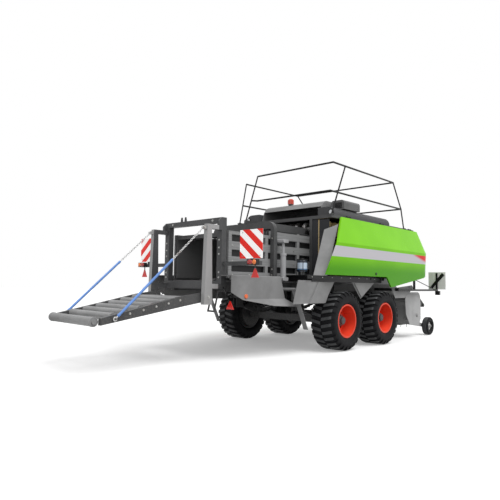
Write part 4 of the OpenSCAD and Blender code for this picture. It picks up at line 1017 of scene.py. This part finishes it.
# %% Cage of the grease bottle
BOTTLE = here(-1.44, -0.96, 1.33)
CAGE_R, CAGE_H = 0.096, 0.285
WIRE_R = 0.005
HOOP_HALF, HOOP_H = 0.006, 0.018
cage = bmesh.new()
for u, v in ring(4, CAGE_R, pi / 4):
    foot = BOTTLE + Vector((u, v, 0))
    add_rod(cage, foot, foot + Vector((0, 0, CAGE_H)), WIRE_R, 10)
hoop_in, hoop_out = CAGE_R - HOOP_HALF, CAGE_R + HOOP_HALF
hoop = [(hoop_in, 0.0), (hoop_out, 0.0), (hoop_out, HOOP_H), (hoop_in, HOOP_H), (hoop_in, 0.0)]
for lift in (0.075, 0.262):
    add_turned(cage, hoop, BOTTLE + Vector((0, 0, lift)), (0, 0, 1), 32)
add_turned(cage, cap(0.036, 0.030), BOTTLE + Vector((0, 0, 0.270)), (0, 0, 1))
finish_piece("bottle_cage", cage, black, "root")

# %% [markdown]
# U-bolts clamp each leaf pack to its axle. Their legs run down both sides of the pack, a plate lies on top, and
# a nut closes each leg.

# %% Spring clamps
SPRING_Y = 0.745
PLATE_LOW, PLATE_HIGH = 0.697, 0.711
LEG_LOW, LEG_HIGH = 0.453, 0.732
clamps = bmesh.new()
for end in (-AXLE_X, AXLE_X):
    for side in SIDES.values():
        middle = here(end, side * SPRING_Y, 0.0)
        add_block(clamps, middle + Vector((-0.092, -0.062, PLATE_LOW)), middle + Vector((0.092, 0.062, PLATE_HIGH)),
                  0.003)
        for leg_x in (-0.074, 0.074):
            for leg_y in (-0.048, 0.048):
                leg = middle + Vector((leg_x, leg_y, 0.0))
                add_rod(clamps, leg + Vector((0, 0, LEG_LOW)), leg + Vector((0, 0, LEG_HIGH)), 0.008, 10)
                add_bolt(clamps, leg + Vector((0, 0, PLATE_HIGH)), (0, 0, 1), 0.016)
finish_piece("spring_clamps", clamps, finishes["dark_frame"], "root", 30)

# %% [markdown]
# The walkway on top has a raised tread so that boots grip it. Each lozenge is a low four-sided cone, squeezed flat
# and turned one way or the other, like the pattern of real tread plate.

# %% Tread of the walkway
WALK_X, WALK_Z = 1.27, 2.46
TREAD_RISE = 0.0012
treads = bmesh.new()
for row in range(11):
    for column in range(-12, 13):
        place = here(WALK_X + 0.062 * row, 0.058 * column, WALK_Z + TREAD_RISE)
        turn = pi / 4 if (row + column) % 2 else -pi / 4
        shape = Matrix.Translation(place) @ Matrix.Rotation(turn, 4, "Z") @ Matrix.Diagonal((1.0, 0.36, 1.0, 1.0))
        bmesh.ops.create_cone(treads, cap_ends=True, segments=4, radius1=0.024, radius2=0.017, depth=0.0036,
                              matrix=shape)
finish_piece("walkway_tread", treads, finishes["dark_frame"], "root", 20)

# %% [markdown]
# The guard rail stands on flanges that are bolted to the top frame. A flange is a flat ring with a raised neck, and
# four bolts stand round it.

# %% Rail flanges
FLANGE = [(0.022, 0.016), (0.028, 0.010), (0.050, 0.008), (0.052, 0.005), (0.052, 0.0), (0.022, 0.0), (0.022, 0.016)]
FLANGE_TOP = 0.008
RAIL_Y = 1.1775
flanges = bmesh.new()
for along in (2.03, -0.86):
    for side in SIDES.values():
        foot = here(along, side * RAIL_Y, WALK_Z)
        add_turned(flanges, FLANGE, foot, (0, 0, 1))
        for u, v in ring(4, 0.040, pi / 4):
            add_bolt(flanges, foot + Vector((u, v, FLANGE_TOP)), (0, 0, 1), 0.008)
finish_piece("rail_flanges", flanges, finishes["dark_frame"], "root", 30)

# %% [markdown]
# A short tube carries the middle rail on to the post at the exit. A ball fills the bend where it leaves the rail,
# and a collar closes it on the post.

# %% Link of the middle rail
RAIL_R = 0.0165
COLLAR = [(0.0, 0.012), (0.021, 0.010), (0.024, 0.0), (0.021, -0.010), (0.0, -0.012)]
rail_end, on_post = here(-0.98, 0.56, 2.875), here(-1.080, 0.638, 2.875)
link = bmesh.new()
bmesh.ops.create_uvsphere(link, u_segments=16, v_segments=10, radius=RAIL_R, matrix=Matrix.Translation(rail_end))
add_rod(link, rail_end, on_post, RAIL_R)
add_turned(link, COLLAR, on_post, on_post - rail_end)
finish_piece("rail_link", link, black, "root")

# %% [markdown]
# A spring coil sits at the root of every tine on the reel, so that a tine can give way to a stone. The coil is a
# waisted sleeve, spun round the bar that carries the tines.

# %% Tine coils
TINES = 15
TINE_PITCH = 2 * 1.03 / TINES
BARS, BAR_R = 4, 0.185
COIL = [(0.014, -0.016), (0.024, -0.016), (0.0255, -0.008), (0.024, 0.0), (0.0255, 0.008), (0.024, 0.016),
        (0.014, 0.016)]
coils = bmesh.new()
for u, v in ring(BARS, BAR_R):
    for k in range(TINES):
        root_of_tine = here(REEL_X + u, (k - (TINES - 1) / 2) * TINE_PITCH, REEL_Z + v)
        add_turned(coils, COIL, root_of_tine, (0, 1, 0), 10)
finish_piece("tine_coils", coils, finishes["bare_steel"], "reel")

# %% [markdown]
# Under the hood a row of knotters ties the twine. Each disc is bolted round its hub.

# %% Knotter bolts
KNOTTERS, KNOTTER_PITCH = 6, 0.2
knots = bmesh.new()
for k in range(KNOTTERS):
    face_y = (k - (KNOTTERS - 1) / 2) * KNOTTER_PITCH - 0.034
    for u, v in ring(5, 0.085):
        add_bolt(knots, here(-0.42 + u, face_y, 2.3 + v), (0, -1, 0), 0.011)
finish_piece("knotter_bolts", knots, zinc, "root", 30)

# %% [markdown]
# The air box has a louvre in its rear face. A blade is a block whose upper half is pushed ahead, so that it slants
# and keeps the rain out, and its edges are softened.

# %% Air louvre
BLADES, BLADE_PITCH = 5, 0.024
louvre = bmesh.new()
for k in range(BLADES):
    blade = bmesh.ops.create_cube(louvre, size=1.0)["verts"]
    bmesh.ops.scale(louvre, vec=(0.010, 0.20, 0.016), verts=blade)
    upper = [v for v in blade if v.co.z > 0]
    bmesh.ops.translate(louvre, vec=(0.010, 0, 0), verts=upper)
    bmesh.ops.translate(louvre, vec=here(-0.309, -0.940, 2.672 + BLADE_PITCH * k), verts=blade)
    soften(louvre, blade, 0.0015, 1)
finish_piece("air_louvre", louvre, black, "root", 30)

# %% [markdown]
